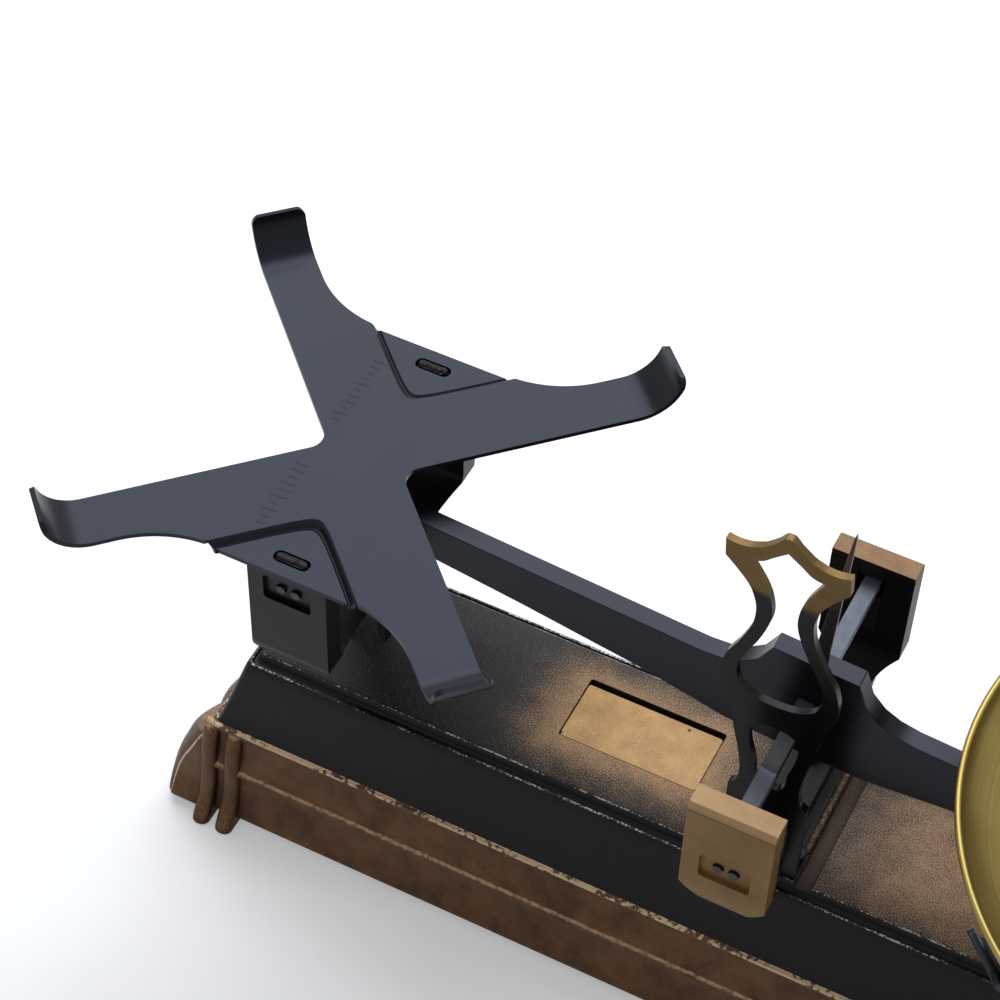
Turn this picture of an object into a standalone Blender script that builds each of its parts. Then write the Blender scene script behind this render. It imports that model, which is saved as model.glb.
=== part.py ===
# Table balance: an equal-arm counter scale with both pans above the beam.
# Lengths are in metres and angles in degrees. X runs along the beam towards the pan,
# Y to the rear and Z up. The origin is the centre of the base's underside.
# The balance stands at rest as it is seen with the pan on: tilted down on the right.

import math

import bmesh
import bpy
from mathutils.geometry import delaunay_2d_cdt

for old_object in list(bpy.data.objects):
    bpy.data.objects.remove(old_object, do_unlink=True)

# Driving dimensions

GAP = 0.0003
OVERRUN = 0.002

# Linkage: beam, stay and the line of knife edges
ARM = 0.185
KNIFE_RISE = 0.060
STAY_HEIGHT = 0.032
REST_TILT = 4.0
ARM_REACH = ARM * math.cos(math.radians(REST_TILT))
ARM_RISE = ARM * math.sin(math.radians(REST_TILT))

# Base casting
DECK_HEIGHT = 0.090
DECK_END = 0.031
DECK_HALF_LENGTH = ARM + DECK_END
DECK_HALF_WIDTH = 0.032
KNIFE_HEIGHT = DECK_HEIGHT + KNIFE_RISE
STAY_DROP = KNIFE_HEIGHT - STAY_HEIGHT
DECK_THICKNESS = 0.006
STEP_DROP = 0.0045
STEP_RUN = 0.0012
STEP_TREAD = 0.0015
BEAD_WIDTH = 0.0018
BEAD_HEIGHT = 0.0006
WALL_DROP = 0.033
WALL_FLARE = 0.010
LIP_WIDTH = 0.0022
LIP_HEIGHT = 0.0020
SKIRT_FLARE = 0.0075
END_INSET = 0.001
END_FLARE = 0.0166
END_DIP = 0.015
LOBES = 5
LOBE_STEPS = 5
LOBE_DEPTH = 0.0065
MIDDLE_LOBE_SHARE = 0.35
SKIRT_CLEARANCE = 0.004
WALL_THICKNESS = 0.005
# Each row: height on the skirt, flare of the long sides.
SKIRT_SHARES = (
    (0.93, -0.10), (0.84, 0.02), (0.70, 0.12), (0.58, 0.25), (0.54, 0.52), (0.50, 0.52), (0.46, 0.33),
    (0.20, 0.55), (0.06, 0.88), (0.00, 1.00),
)
# Each row: height on the scalloped end, reach beyond the lip, flare beyond the ledge, depth of lobes.
END_SHARES = (
    (0.99, -0.08, 0.10, 0.10), (0.91, 0.10, 0.16, 0.60), (0.85, 0.235, 0.19, 0.85), (0.75, 0.40, 0.245, 1.00),
    (0.62, 0.58, 0.30, 0.95), (0.52, 0.73, 0.335, 0.90), (0.43, 0.83, 0.38, 0.85), (0.34, 0.91, 0.43, 0.80),
    (0.20, 0.99, 0.56, 0.75), (0.08, 1.00, 0.74, 0.68),
)
RIB_WIDTH = 0.0072
RIB_INSET = 0.0056
RIB_PITCH = 0.0108
RIB_PLACES = (DECK_HALF_LENGTH + RIB_INSET, DECK_HALF_LENGTH + RIB_INSET + RIB_PITCH)
RIB_FLARE = 0.0165
# Each row: height on the rib, flare beyond the ledge.
RIB_SHARES = ((0.97, 0.08), (0.88, 0.22), (0.70, 0.33), (0.46, 0.42), (0.24, 0.58), (0.10, 0.85), (0.03, 1.0))
FOOT_HEEL = 0.006
CROSS_RIB_WIDTH = 0.012
CROSS_RIB_HEIGHT = 0.010
RIDGE_LEFT = 0.0130
RIDGE_WIDTH = 0.0030
RIDGE_HEIGHT = 0.0012
GROOVE_WIDTH = 0.0070
GROOVE_DEPTH = 0.0025
SLOT_LENGTH = 0.020
SLOT_WIDTH = 0.017

# Cover plate in the deck
COVER_LEFT = -0.0932
COVER_LENGTH = 0.0586
COVER_FRONT = -0.0116
COVER_WIDTH = 0.0278
COVER_THICKNESS = 0.0027
COVER_REAR_SLACK = 0.0026
COVER_LEDGE = 0.004
REBATE_DEPTH = 0.0033

# Beam
BEAM_THICKNESS = 0.008
BEAM_TOP = 0.0128
BEAM_HEAD_TOP = 0.033
BEAM_HEAD_HALF = 0.017
BEAM_HEAD_SPREAD = 0.025
BEAM_MIDDLE_DEPTH = 0.020
BEAM_END_DEPTH = 0.0045
BEAM_BOSS_DEPTH = 0.0115
BEAM_BOSS_HALF = 0.012
BEAM_BOSS_BLEND = 0.010
BEAM_CHAMFER = 0.004
# Each row: distance out along the arm, fullness of the belly.
BELLY_SHARES = ((0.15, 0.97), (0.34, 0.58), (0.62, 0.24))
# Each row: distance out along the head's foot, height above the beam's top.
HEAD_FOOT_SHARES = ((0.18, 0.48), (0.42, 0.20), (0.68, 0.06))

# Knives
KNIFE_HALF = 0.0033
KNIFE_EDGE_RISE = 0.005
CENTRE_KNIFE_DEPTH = 0.011
END_KNIFE_DEPTH = 0.009
KNIFE_ENTRY = 0.0048

# Needle
NEEDLE_REACH = 0.106
NEEDLE_HALF = 0.0030
NEEDLE_TIP_HALF = 0.0005
NEEDLE_THICKNESS = 0.0016
NEEDLE_POINT = 0.0025
TANG_HALF = 0.0024
TANG_LENGTH = 0.008

# Heads of the stand and cheeks of the yokes
HEAD_THICKNESS = 0.010
POCKET_HALF = 0.0055
POCKET_DEPTH = 0.0055
POCKET_REACH = 0.0205
BEARING_REACH = 0.0202
WINDOW_HALF = 0.010
WINDOW_NEAR = 0.007
WINDOW_FAR = 0.020
WINDOW_DEPTH = 0.002
SHANK_PITCH = 0.0062
SHANK_RADIUS = 0.0020
SHANK_PROUD = 0.0012

# Fulcrum stand
STAND_HALF_GAP = 0.061
STAND_HALF_WIDTH = 0.017
STAND_HEAD_RISE = 0.020
STAND_TOP = KNIFE_RISE + STAND_HEAD_RISE
STAND_HEAD_DROP = 0.026
STAND_HEAD_FOOT = KNIFE_RISE - STAND_HEAD_DROP
STAND_NECK_HALF = 0.009
STAND_FOOT_THICKNESS = 0.009
STAND_FOOT_HALF = 0.028
CAP_THICKNESS = 0.003
CAP_BEVEL = 0.0015
CAP_TONGUE = 0.005
HANGER_CLEARANCE = 0.0005
HANGER_HALF_WIDTH = DECK_HALF_WIDTH - WALL_THICKNESS - HANGER_CLEARANCE
BOLT_EDGE = 0.0055
BOLT_PLACE = HANGER_HALF_WIDTH - BOLT_EDGE
BOLT_RADIUS = 0.003
BOLT_HEAD_RADIUS = 0.0056
BOLT_HEAD_HEIGHT = 0.004
NUT_HEIGHT = 0.005

# Crown frame
CROWN_EDGE = 0.002
CROWN_PLACE = DECK_HALF_WIDTH - CROWN_EDGE
CROWN_THICKNESS = 0.003
CROWN_OVER_NEEDLE = 0.022
CROWN_HEIGHT = KNIFE_RISE + NEEDLE_REACH + CROWN_OVER_NEEDLE
CROWN_HALF = 0.0225
LUG_REACH = 0.0105
LUG_THICKNESS = 0.003
SCREW_RADIUS = 0.0017
SCREW_HEAD_RADIUS = 0.0028
SCREW_HEAD_HEIGHT = 0.002
SCREW_LENGTH = 0.009
# Outline of the right half, up the outside: share of the half width, share of the height.
CROWN_OUTER_SHARES = (
    (0.693, 0.237), (0.578, 0.250), (0.533, 0.271), (0.533, 0.309), (0.600, 0.362), (0.702, 0.420),
    (0.747, 0.457), (0.822, 0.495), (0.956, 0.537), (0.987, 0.586), (0.911, 0.632), (0.720, 0.678),
    (0.530, 0.735), (0.475, 0.774), (0.490, 0.806), (0.585, 0.842), (0.770, 0.874), (1.000, 0.906),
    (1.000, 0.950), (0.622, 0.948), (0.356, 0.961), (0.178, 0.982), (0.071, 0.998),
)
# Right half of the sight opening, from below: ring, neck and the space under the crown.
CROWN_SIGHT_SHARES = (
    (0.000, 0.524), (0.300, 0.529), (0.560, 0.545), (0.700, 0.572), (0.720, 0.604), (0.620, 0.645),
    (0.400, 0.700), (0.235, 0.760), (0.215, 0.803), (0.320, 0.852), (0.600, 0.914), (0.400, 0.921),
    (0.220, 0.940), (0.000, 0.962),
)
# Right half of the arch that the centre knife passes through, from below.
CROWN_ARCH_SHARES = (
    (0.000, 0.270), (0.180, 0.274), (0.270, 0.295), (0.290, 0.330), (0.400, 0.385), (0.422, 0.420),
    (0.360, 0.443), (0.200, 0.457), (0.000, 0.460),
)
CROWN_FOOT_HALF = 0.0156
CROWN_LEG_INNER = 0.0097
CROWN_BRIDGE_HEIGHT = 0.030
# The frame curves a little to the left above its lugs.
CROWN_CURVE_START = 0.010
CROWN_CURVE = math.radians(4.4)
CROWN_BRIDGE_RISE = 0.006
LUG_HOLE_X = (CROWN_LEG_INNER + CROWN_FOOT_HALF) / 2
LUG_HOLE_Y = -CROWN_PLACE + CROWN_THICKNESS / 2 + LUG_REACH * 0.55

# Yokes
YOKE_HALF_GAP = 0.050
YOKE_HALF_WIDTH = 0.0165
YOKE_CLEARANCE = 0.0051
YOKE_DEPTH = KNIFE_RISE - ARM_RISE - YOKE_CLEARANCE
YOKE_FLARE_HEIGHT = 0.0195
YOKE_CHEEK_FOOT = YOKE_DEPTH - YOKE_FLARE_HEIGHT
YOKE_NECK_HALF = 0.008
YOKE_WEB = 0.0115
TENON_HALF_LENGTH = 0.0070
TENON_HALF_WIDTH = 0.0023
TENON_PROUD = 0.0008

# Web between head and foot of a U bracket, seen from the side and from the front
# Each row: share of the way in from the head to the flat foot, share of the drop.
WEB_OUTER_SHARES = ((0.03, 0.22), (0.15, 0.52), (0.36, 0.78), (0.64, 0.94))
WEB_INNER_SHARES = ((0.06, 0.30), (0.24, 0.62), (0.52, 0.86), (0.80, 0.98))
NECK_SHARES = ((0.00, 0.14), (0.35, 0.36), (0.72, 0.62), (0.92, 0.84))

# Stems
STEM_HALF = 0.006
STEM_THICKNESS = 0.006
STEM_TENON_HALF = 0.004
STEM_TAIL = 0.007
FORK_WALL = 0.003
FORK_TOP = 0.018
FORK_SLOT_TOP = 0.012
RIVET_RADIUS = 0.0015
RIVET_RISE = 0.006
RIVET_DROP = YOKE_DEPTH - RIVET_RISE
STAY_PIN_RADIUS = 0.0025

# Stay and its hanger
STAY_THICKNESS = 0.006
STAY_HALF_DEPTH = 0.007
STAY_END = 0.009
HANGER_HALF_LENGTH = 0.009
HANGER_PLATE = 0.0057
HANGER_CHEEK = 0.004
HANGER_TAIL = 0.008
PIN_PROUD = 0.001

# Pan supports
PLATE_TOP = 0.030
SHEET = 0.002
ARM_STRIP = 0.022
FLAT_REACH = 0.106
TIP_BEND = 0.0167
TIP_ANGLE = 83.0
BEND_STEPS = 6
WEB_MARGIN = 0.003
WEB_EDGE = YOKE_HALF_GAP + HEAD_THICKNESS + WEB_MARGIN
WEB_FILLET = 0.047
NOTCH_FILLET = 0.007
TIP_FILLET = 0.0025
PANEL_INSET = 0.0155
PANEL_APEX = YOKE_HALF_GAP - PANEL_INSET
PANEL_SLOPE = 0.0042
PANEL_ROUND = 0.006
PANEL_DROP = 0.002

# Pan
PAN_MARGIN = 0.029
PAN_FLAT = FLAT_REACH - PAN_MARGIN
PAN_WALL_BEND = 0.060
PAN_DEPTH = 0.0203
PAN_SHEET = 0.0012
PAN_LIP = 0.0013
PAN_STEPS = 48
WALL_BEND_STEPS = 6

# Materials

def principled(name, colour, metallic, roughness):
    material = bpy.data.materials.new(name)
    material.use_nodes = True
    shader = material.node_tree.nodes["Principled BSDF"]
    shader.inputs["Base Color"].default_value = (*colour, 1.0)
    shader.inputs["Metallic"].default_value = metallic
    shader.inputs["Roughness"].default_value = roughness
    material.diffuse_color = (*colour, 1.0)
    return material


BLACK_ENAMEL = principled("black_enamel", (0.018, 0.018, 0.020), 0.0, 0.30)
GOLD_PAINT = principled("gold_paint", (0.42, 0.25, 0.10), 0.6, 0.45)
BRASS = principled("brass", (0.62, 0.47, 0.18), 1.0, 0.28)
STEEL = principled("bare_steel", (0.42, 0.42, 0.43), 1.0, 0.35)

# Shapes shared by many pieces

def to_space(axis, across, up, along):
    if axis == "X":
        return (along, across, up)
    if axis == "Y":
        return (across, along, up)
    return (across, up, along)


def add_prism(shape, outline, axis, start, end):
    rings = []
    for along in (start, end):
        rings.append([shape.verts.new(to_space(axis, a, b, along)) for a, b in outline])
    count = len(outline)
    for i in range(count):
        j = (i + 1) % count
        shape.faces.new((rings[0][i], rings[0][j], rings[1][j], rings[1][i]))
    shape.faces.new(rings[0])
    shape.faces.new(rings[1])


def add_box(shape, low, high):
    outline = ((low[0], low[1]), (high[0], low[1]), (high[0], high[1]), (low[0], high[1]))
    add_prism(shape, outline, "Z", low[2], high[2])


def circle(centre_a, centre_b, radius, sides=16, turn=0.0):
    points = []
    for i in range(sides):
        angle = math.tau * i / sides + math.radians(turn)
        points.append((centre_a + radius * math.cos(angle), centre_b + radius * math.sin(angle)))
    return points


def add_rod(shape, axis, centre_a, centre_b, radius, start, end, sides=16, turn=0.0):
    add_prism(shape, circle(centre_a, centre_b, radius, sides, turn), axis, start, end)


def add_loft(shape, rings):
    made = [[shape.verts.new(point) for point in ring] for ring in rings]
    for lower, upper in zip(made, made[1:]):
        for i in range(len(lower)):
            j = (i + 1) % len(lower)
            shape.faces.new((lower[i], lower[j], upper[j], upper[i]))
    shape.faces.new(made[0])
    shape.faces.new(made[-1])


def add_turned(shape, profile, steps):
    rings = []
    for radius, height in profile:
        if radius == 0:
            rings.append([shape.verts.new((0, 0, height))])
            continue
        ring = []
        for i in range(steps):
            angle = math.tau * i / steps
            ring.append(shape.verts.new((radius * math.cos(angle), radius * math.sin(angle), height)))
        rings.append(ring)
    for first, second in zip(rings, rings[1:]):
        for i in range(steps):
            j = (i + 1) % steps
            corners = []
            around = ((first, i), (first, j), (second, j), (second, i))
            for ring, place in around:
                vertex = ring[place % len(ring)]
                if vertex not in corners:
                    corners.append(vertex)
            shape.faces.new(corners)


def mirror_outline(right_half):
    left_half = [(-a, b) for a, b in reversed(right_half) if a > 0]
    return list(right_half) + left_half


def fillet(before, corner, after, radius, steps=5):
    to_before = (before[0] - corner[0], before[1] - corner[1])
    to_after = (after[0] - corner[0], after[1] - corner[1])
    length_before = math.hypot(*to_before)
    length_after = math.hypot(*to_after)
    unit_before = (to_before[0] / length_before, to_before[1] / length_before)
    unit_after = (to_after[0] / length_after, to_after[1] / length_after)
    half = math.acos(unit_before[0] * unit_after[0] + unit_before[1] * unit_after[1]) / 2
    middle = (unit_before[0] + unit_after[0], unit_before[1] + unit_after[1])
    middle_length = math.hypot(*middle)
    reach = radius / math.sin(half)
    centre = (corner[0] + middle[0] / middle_length * reach, corner[1] + middle[1] / middle_length * reach)
    run = radius / math.tan(half)
    first = (corner[0] + unit_before[0] * run, corner[1] + unit_before[1] * run)
    last = (corner[0] + unit_after[0] * run, corner[1] + unit_after[1] * run)
    start = math.atan2(first[1] - centre[1], first[0] - centre[0])
    sweep = math.atan2(last[1] - centre[1], last[0] - centre[0]) - start
    sweep = (sweep + math.pi) % math.tau - math.pi
    points = []
    for i in range(steps + 1):
        angle = start + sweep * i / steps
        points.append((centre[0] + radius * math.cos(angle), centre[1] + radius * math.sin(angle)))
    return points


def make_object(name, shape, material=None, parent=None):
    bmesh.ops.recalc_face_normals(shape, faces=shape.faces)
    mesh = bpy.data.meshes.new(name)
    shape.to_mesh(mesh)
    shape.free()
    made = bpy.data.objects.new(name, mesh)
    bpy.context.scene.collection.objects.link(made)
    if material:
        mesh.materials.append(material)
    made.parent = parent
    return made


def make_tool(name, shape, parent=None):
    tool = make_object(name, shape, None, parent)
    tool.hide_render = True
    tool.display_type = "WIRE"
    return tool


def combine(target, tool, operation):
    change = target.modifiers.new(tool.name, "BOOLEAN")
    change.operation = operation
    change.solver = "EXACT"
    change.object = tool


def make_pivot(name, place, tilt=0.0):
    pivot = bpy.data.objects.new(name, None)
    pivot.location = place
    pivot.rotation_euler = (0, math.radians(tilt), 0)
    bpy.context.scene.collection.objects.link(pivot)
    return pivot


# Pivots: the knife edges and the stay's pin at rest

beam_pivot = make_pivot("beam_pivot", (0, 0, KNIFE_HEIGHT), REST_TILT)
stay_pivot = make_pivot("stay_pivot", (0, 0, STAY_HEIGHT), REST_TILT)
carrier_pivots = {
    "left": make_pivot("left_carrier_pivot", (-ARM_REACH, 0, KNIFE_HEIGHT + ARM_RISE)),
    "right": make_pivot("right_carrier_pivot", (ARM_REACH, 0, KNIFE_HEIGHT - ARM_RISE)),
}

# Base casting

def base_ring(half_length, half_width, height):
    return [
        (half_length, half_width, height), (-half_length, half_width, height),
        (-half_length, -half_width, height), (half_length, -half_width, height),
    ]


def base_rings():
    rim = DECK_HEIGHT - STEP_DROP
    ledge = rim - WALL_DROP
    out = STEP_RUN
    rings = [base_ring(DECK_HALF_LENGTH, DECK_HALF_WIDTH, DECK_HEIGHT)]
    rings.append(base_ring(DECK_HALF_LENGTH + out, DECK_HALF_WIDTH + out, rim))
    out += STEP_TREAD
    rings.append(base_ring(DECK_HALF_LENGTH + out, DECK_HALF_WIDTH + out, rim))
    out += BEAD_WIDTH / 3
    rings.append(base_ring(DECK_HALF_LENGTH + out, DECK_HALF_WIDTH + out, rim + BEAD_HEIGHT))
    out += BEAD_WIDTH / 3
    rings.append(base_ring(DECK_HALF_LENGTH + out, DECK_HALF_WIDTH + out, rim + BEAD_HEIGHT))
    out += BEAD_WIDTH / 3
    rings.append(base_ring(DECK_HALF_LENGTH + out, DECK_HALF_WIDTH + out, rim))
    out += WALL_FLARE
    rings.append(base_ring(DECK_HALF_LENGTH + out, DECK_HALF_WIDTH + out, ledge))
    out += LIP_WIDTH
    rings.append(base_ring(DECK_HALF_LENGTH + out, DECK_HALF_WIDTH + out, ledge - LIP_HEIGHT / 4))
    rings.append(base_ring(DECK_HALF_LENGTH + out, DECK_HALF_WIDTH + out, ledge - LIP_HEIGHT))
    skirt_top = ledge - LIP_HEIGHT
    skirt_height = skirt_top - SKIRT_CLEARANCE
    for height_share, side_share in SKIRT_SHARES:
        rings.append(base_ring(
            DECK_HALF_LENGTH + out - END_INSET,
            DECK_HALF_WIDTH + out + SKIRT_FLARE * side_share,
            SKIRT_CLEARANCE + skirt_height * height_share,
        ))
    return rings


def end_rings(end):
    wall_out = STEP_RUN + STEP_TREAD + BEAD_WIDTH + WALL_FLARE
    skirt_top = DECK_HEIGHT - STEP_DROP - WALL_DROP - LIP_HEIGHT
    steps = LOBES * LOBE_STEPS
    back = end * (RIB_PLACES[1] - RIB_WIDTH * 2 / 5)
    rings = []
    for height_share, reach_share, flare_share, lobe_share in END_SHARES:
        reach = DECK_HALF_LENGTH + wall_out + LIP_WIDTH + END_FLARE * reach_share
        half_width = DECK_HALF_WIDTH + wall_out + RIB_FLARE * flare_share
        height = skirt_top * height_share
        ring = [(back, -half_width, height)]
        for i in range(steps + 1):
            across = 2 * i / steps - 1
            edge = abs(across)
            lobe = LOBE_DEPTH * lobe_share * (MIDDLE_LOBE_SHARE + (1 - MIDDLE_LOBE_SHARE) * edge)
            swell = lobe * abs(math.sin(math.pi * i / LOBE_STEPS))
            dip = END_DIP * max(reach_share, 0) * (1 - edge) ** 1.5
            ring.append((end * (reach + swell - dip), across * half_width, height))
        ring.append((back, half_width, height))
        rings.append(ring)
    return rings


def base_cavity_rings():
    ledge = DECK_HEIGHT - STEP_DROP - WALL_DROP
    out = STEP_RUN + STEP_TREAD + BEAD_WIDTH
    levels = (
        (DECK_HEIGHT - DECK_THICKNESS, 0.0, 0.0),
        (ledge, out + WALL_FLARE, out + WALL_FLARE),
        (-OVERRUN, out + WALL_FLARE + LIP_WIDTH, out + WALL_FLARE + LIP_WIDTH),
    )
    rings = []
    for height, side_out, end_out in levels:
        a = DECK_HALF_LENGTH + end_out - WALL_THICKNESS
        b = DECK_HALF_WIDTH + side_out - WALL_THICKNESS
        rings.append([(a, b, height), (-a, b, height), (-a, -b, height), (a, -b, height)])
    return rings


def add_base_rib(shape, centre, side):
    ledge = DECK_HEIGHT - STEP_DROP - WALL_DROP
    wall = DECK_HALF_WIDTH + STEP_RUN + STEP_TREAD + BEAD_WIDTH + WALL_FLARE
    outline = [(side * (wall - WALL_THICKNESS / 2), ledge - LIP_HEIGHT / 2)]
    for height_share, flare_share in RIB_SHARES:
        outline.append((side * (wall + RIB_FLARE * flare_share), ledge * height_share))
    outline.append((side * (wall + RIB_FLARE), 0.0))
    outline.append((side * (wall + RIB_FLARE - FOOT_HEEL * 2), 0.0))
    outline.append((side * (wall - WALL_THICKNESS / 2), FOOT_HEEL))
    add_prism(shape, outline, "X", centre - RIB_WIDTH / 2, centre + RIB_WIDTH / 2)


def build_base():
    shape = bmesh.new()
    add_loft(shape, base_rings())
    base = make_object("base_casting", shape, BLACK_ENAMEL)

    for end, label in ((-1, "left"), (1, "right")):
        scallops = bmesh.new()
        add_loft(scallops, end_rings(end))
        combine(base, make_tool(label + "_scallops", scallops), "UNION")

    ribs = bmesh.new()
    for place in RIB_PLACES:
        for end in (-1, 1):
            for side in (-1, 1):
                add_base_rib(ribs, end * place, side)
    combine(base, make_tool("corner_ribs", ribs), "UNION")

    hollow = bmesh.new()
    add_loft(hollow, base_cavity_rings())
    combine(base, make_tool("base_hollow", hollow), "DIFFERENCE")

    cross = bmesh.new()
    reach = DECK_HALF_WIDTH + STEP_RUN + STEP_TREAD + BEAD_WIDTH + WALL_FLARE
    half = CROSS_RIB_WIDTH / 2
    add_box(cross, (-half, -reach, 0.0), (half, reach, CROSS_RIB_HEIGHT))
    combine(base, make_tool("cross_rib", cross), "UNION")

    ridge = bmesh.new()
    left = RIDGE_LEFT
    right = RIDGE_LEFT + RIDGE_WIDTH
    slant = RIDGE_WIDTH / 4
    outline = (
        (left, DECK_HEIGHT - RIDGE_HEIGHT), (left, DECK_HEIGHT), (left + slant, DECK_HEIGHT + RIDGE_HEIGHT),
        (right - slant, DECK_HEIGHT + RIDGE_HEIGHT), (right, DECK_HEIGHT),
        (right, DECK_HEIGHT - RIDGE_HEIGHT),
    )
    ridge_front = -CROWN_PLACE + CROWN_THICKNESS / 2 + LUG_REACH + GAP
    add_prism(ridge, outline, "Y", ridge_front, DECK_HALF_WIDTH - RIDGE_HEIGHT)
    combine(base, make_tool("deck_ridge", ridge), "UNION")

    cuts = bmesh.new()
    top = DECK_HEIGHT + OVERRUN
    under = DECK_HEIGHT - DECK_THICKNESS - OVERRUN
    add_box(
        cuts,
        (right, -DECK_HALF_WIDTH - STEP_TREAD, DECK_HEIGHT - GROOVE_DEPTH),
        (right + GROOVE_WIDTH, DECK_HALF_WIDTH + STEP_TREAD, top),
    )
    for end in (-1, 1):
        middle = end * ARM_REACH
        add_box(
            cuts,
            (middle - SLOT_LENGTH / 2, -SLOT_WIDTH / 2, under),
            (middle + SLOT_LENGTH / 2, SLOT_WIDTH / 2, top),
        )
        add_rod(cuts, "Z", 0.0, end * BOLT_PLACE, BOLT_RADIUS + GAP, under, top, 12)
        add_rod(cuts, "Z", end * LUG_HOLE_X, LUG_HOLE_Y, SCREW_RADIUS + GAP, under, top, 12)
    combine(base, make_tool("deck_cuts", cuts), "DIFFERENCE")

    rebate = bmesh.new()
    cover_right = COVER_LEFT + COVER_LENGTH
    cover_rear = COVER_FRONT + COVER_WIDTH
    add_box(
        rebate,
        (COVER_LEFT - GAP, COVER_FRONT - GAP, DECK_HEIGHT - REBATE_DEPTH),
        (cover_right + GAP, cover_rear + COVER_REAR_SLACK, top),
    )
    combine(base, make_tool("cover_rebate", rebate), "DIFFERENCE")
    opening = bmesh.new()
    add_box(
        opening,
        (COVER_LEFT + COVER_LEDGE, COVER_FRONT + COVER_LEDGE, under),
        (cover_right - COVER_LEDGE, cover_rear - COVER_LEDGE, top),
    )
    combine(base, make_tool("cover_opening", opening), "DIFFERENCE")
    return base


build_base()

# Cover plate

shape = bmesh.new()
cover_floor = DECK_HEIGHT - REBATE_DEPTH + GAP
add_box(
    shape,
    (COVER_LEFT, COVER_FRONT, cover_floor),
    (COVER_LEFT + COVER_LENGTH, COVER_FRONT + COVER_WIDTH, cover_floor + COVER_THICKNESS),
)
make_object("cover_plate", shape, GOLD_PAINT)

# U brackets: the fulcrum stand and the two yokes are the same kind of casting

def bracket_side_outline(half_gap, head_top, head_foot, foot_half, web_top, web_bottom):
    outer = half_gap + HEAD_THICKNESS
    right = [(0.0, web_bottom), (foot_half, web_bottom)]
    for in_share, drop_share in reversed(WEB_OUTER_SHARES):
        right.append((
            outer + (foot_half - outer) * in_share,
            head_foot + (web_bottom - head_foot) * drop_share,
        ))
    right.append((outer, head_foot))
    right.append((outer, head_top))
    right.append((half_gap, head_top))
    right.append((half_gap, head_foot))
    for in_share, drop_share in WEB_INNER_SHARES:
        right.append((
            half_gap + (foot_half - half_gap) * in_share,
            head_foot + (web_top - head_foot) * drop_share,
        ))
    right.append((foot_half, web_top))
    right.append((0.0, web_top))
    return mirror_outline(right)


def bracket_front_outline(half_width, neck_half, head_top, head_foot, bottom, neck_drop):
    right = [(neck_half, bottom), (neck_half, head_foot - neck_drop)]
    for in_share, drop_share in reversed(NECK_SHARES):
        right.append((
            half_width + (neck_half - half_width) * in_share,
            head_foot - neck_drop * drop_share,
        ))
    right.append((half_width, head_foot))
    right.append((half_width, head_top))
    return mirror_outline(right)


def build_bracket(name, parent, side_outline, front_outline, half_width, reach):
    shape = bmesh.new()
    add_prism(shape, side_outline, "X", -half_width, half_width)
    bracket = make_object(name, shape, BLACK_ENAMEL, parent)
    front = bmesh.new()
    add_prism(front, front_outline, "Y", -reach - OVERRUN, reach + OVERRUN)
    combine(bracket, make_tool(name + "_front", front, parent), "INTERSECT")
    return bracket


def cut_heads(bracket, parent, half_gap, knife, toward_head, pocket_far):
    # toward_head is 1 where the bearing lies above the knife edge and -1 where it lies below.
    pockets = bmesh.new()
    windows = bmesh.new()
    holes = bmesh.new()
    outer = half_gap + HEAD_THICKNESS
    pocket_end = half_gap + POCKET_DEPTH
    low = min(knife + toward_head * POCKET_REACH, pocket_far)
    high = max(knife + toward_head * POCKET_REACH, pocket_far)
    near = knife + toward_head * WINDOW_NEAR
    far = knife + toward_head * WINDOW_FAR
    for side in (-1, 1):
        for shape, half, start, end, bottom, top in (
            (pockets, POCKET_HALF, half_gap - OVERRUN, pocket_end, low, high),
            (windows, WINDOW_HALF, outer - WINDOW_DEPTH, outer + OVERRUN, min(near, far), max(near, far)),
        ):
            outline = ((-half, bottom), (half, bottom), (half, top), (-half, top))
            add_prism(shape, outline, "Y", side * start, side * end)
        for end in (-1, 1):
            add_rod(
                holes, "Y", end * SHANK_PITCH / 2, knife + toward_head * (WINDOW_NEAR + WINDOW_FAR) / 2,
                SHANK_RADIUS + GAP, side * (pocket_end - GAP), side * (outer - WINDOW_DEPTH + GAP), 12,
            )
    for label, cutter in (("_pockets", pockets), ("_windows", windows), ("_holes", holes)):
        combine(bracket, make_tool(bracket.name + label, cutter, parent), "DIFFERENCE")


def build_bearing(name, parent, half_gap, knife, toward_head, side):
    half = POCKET_HALF - GAP
    groove = knife + toward_head * GAP
    flank = half / math.tan(math.radians(60))
    back = knife + toward_head * BEARING_REACH
    outline = ((-half, back), (half, back), (half, groove - toward_head * flank), (0.0, groove),
               (-half, groove - toward_head * flank))
    start = half_gap + GAP
    end = half_gap + POCKET_DEPTH - GAP
    shape = bmesh.new()
    add_prism(shape, outline, "Y", side * start, side * end)
    bearing = make_object(name, shape, STEEL, parent)
    shanks = bmesh.new()
    shank_end = half_gap + HEAD_THICKNESS - WINDOW_DEPTH + SHANK_PROUD
    height = knife + toward_head * (WINDOW_NEAR + WINDOW_FAR) / 2
    for place in (-1, 1):
        add_rod(
            shanks, "Y", place * SHANK_PITCH / 2, height, SHANK_RADIUS,
            side * (end - GAP), side * shank_end, 12,
        )
    combine(bearing, make_tool(name + "_shanks", shanks, parent), "UNION")
    return bearing


# Fulcrum stand

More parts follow.
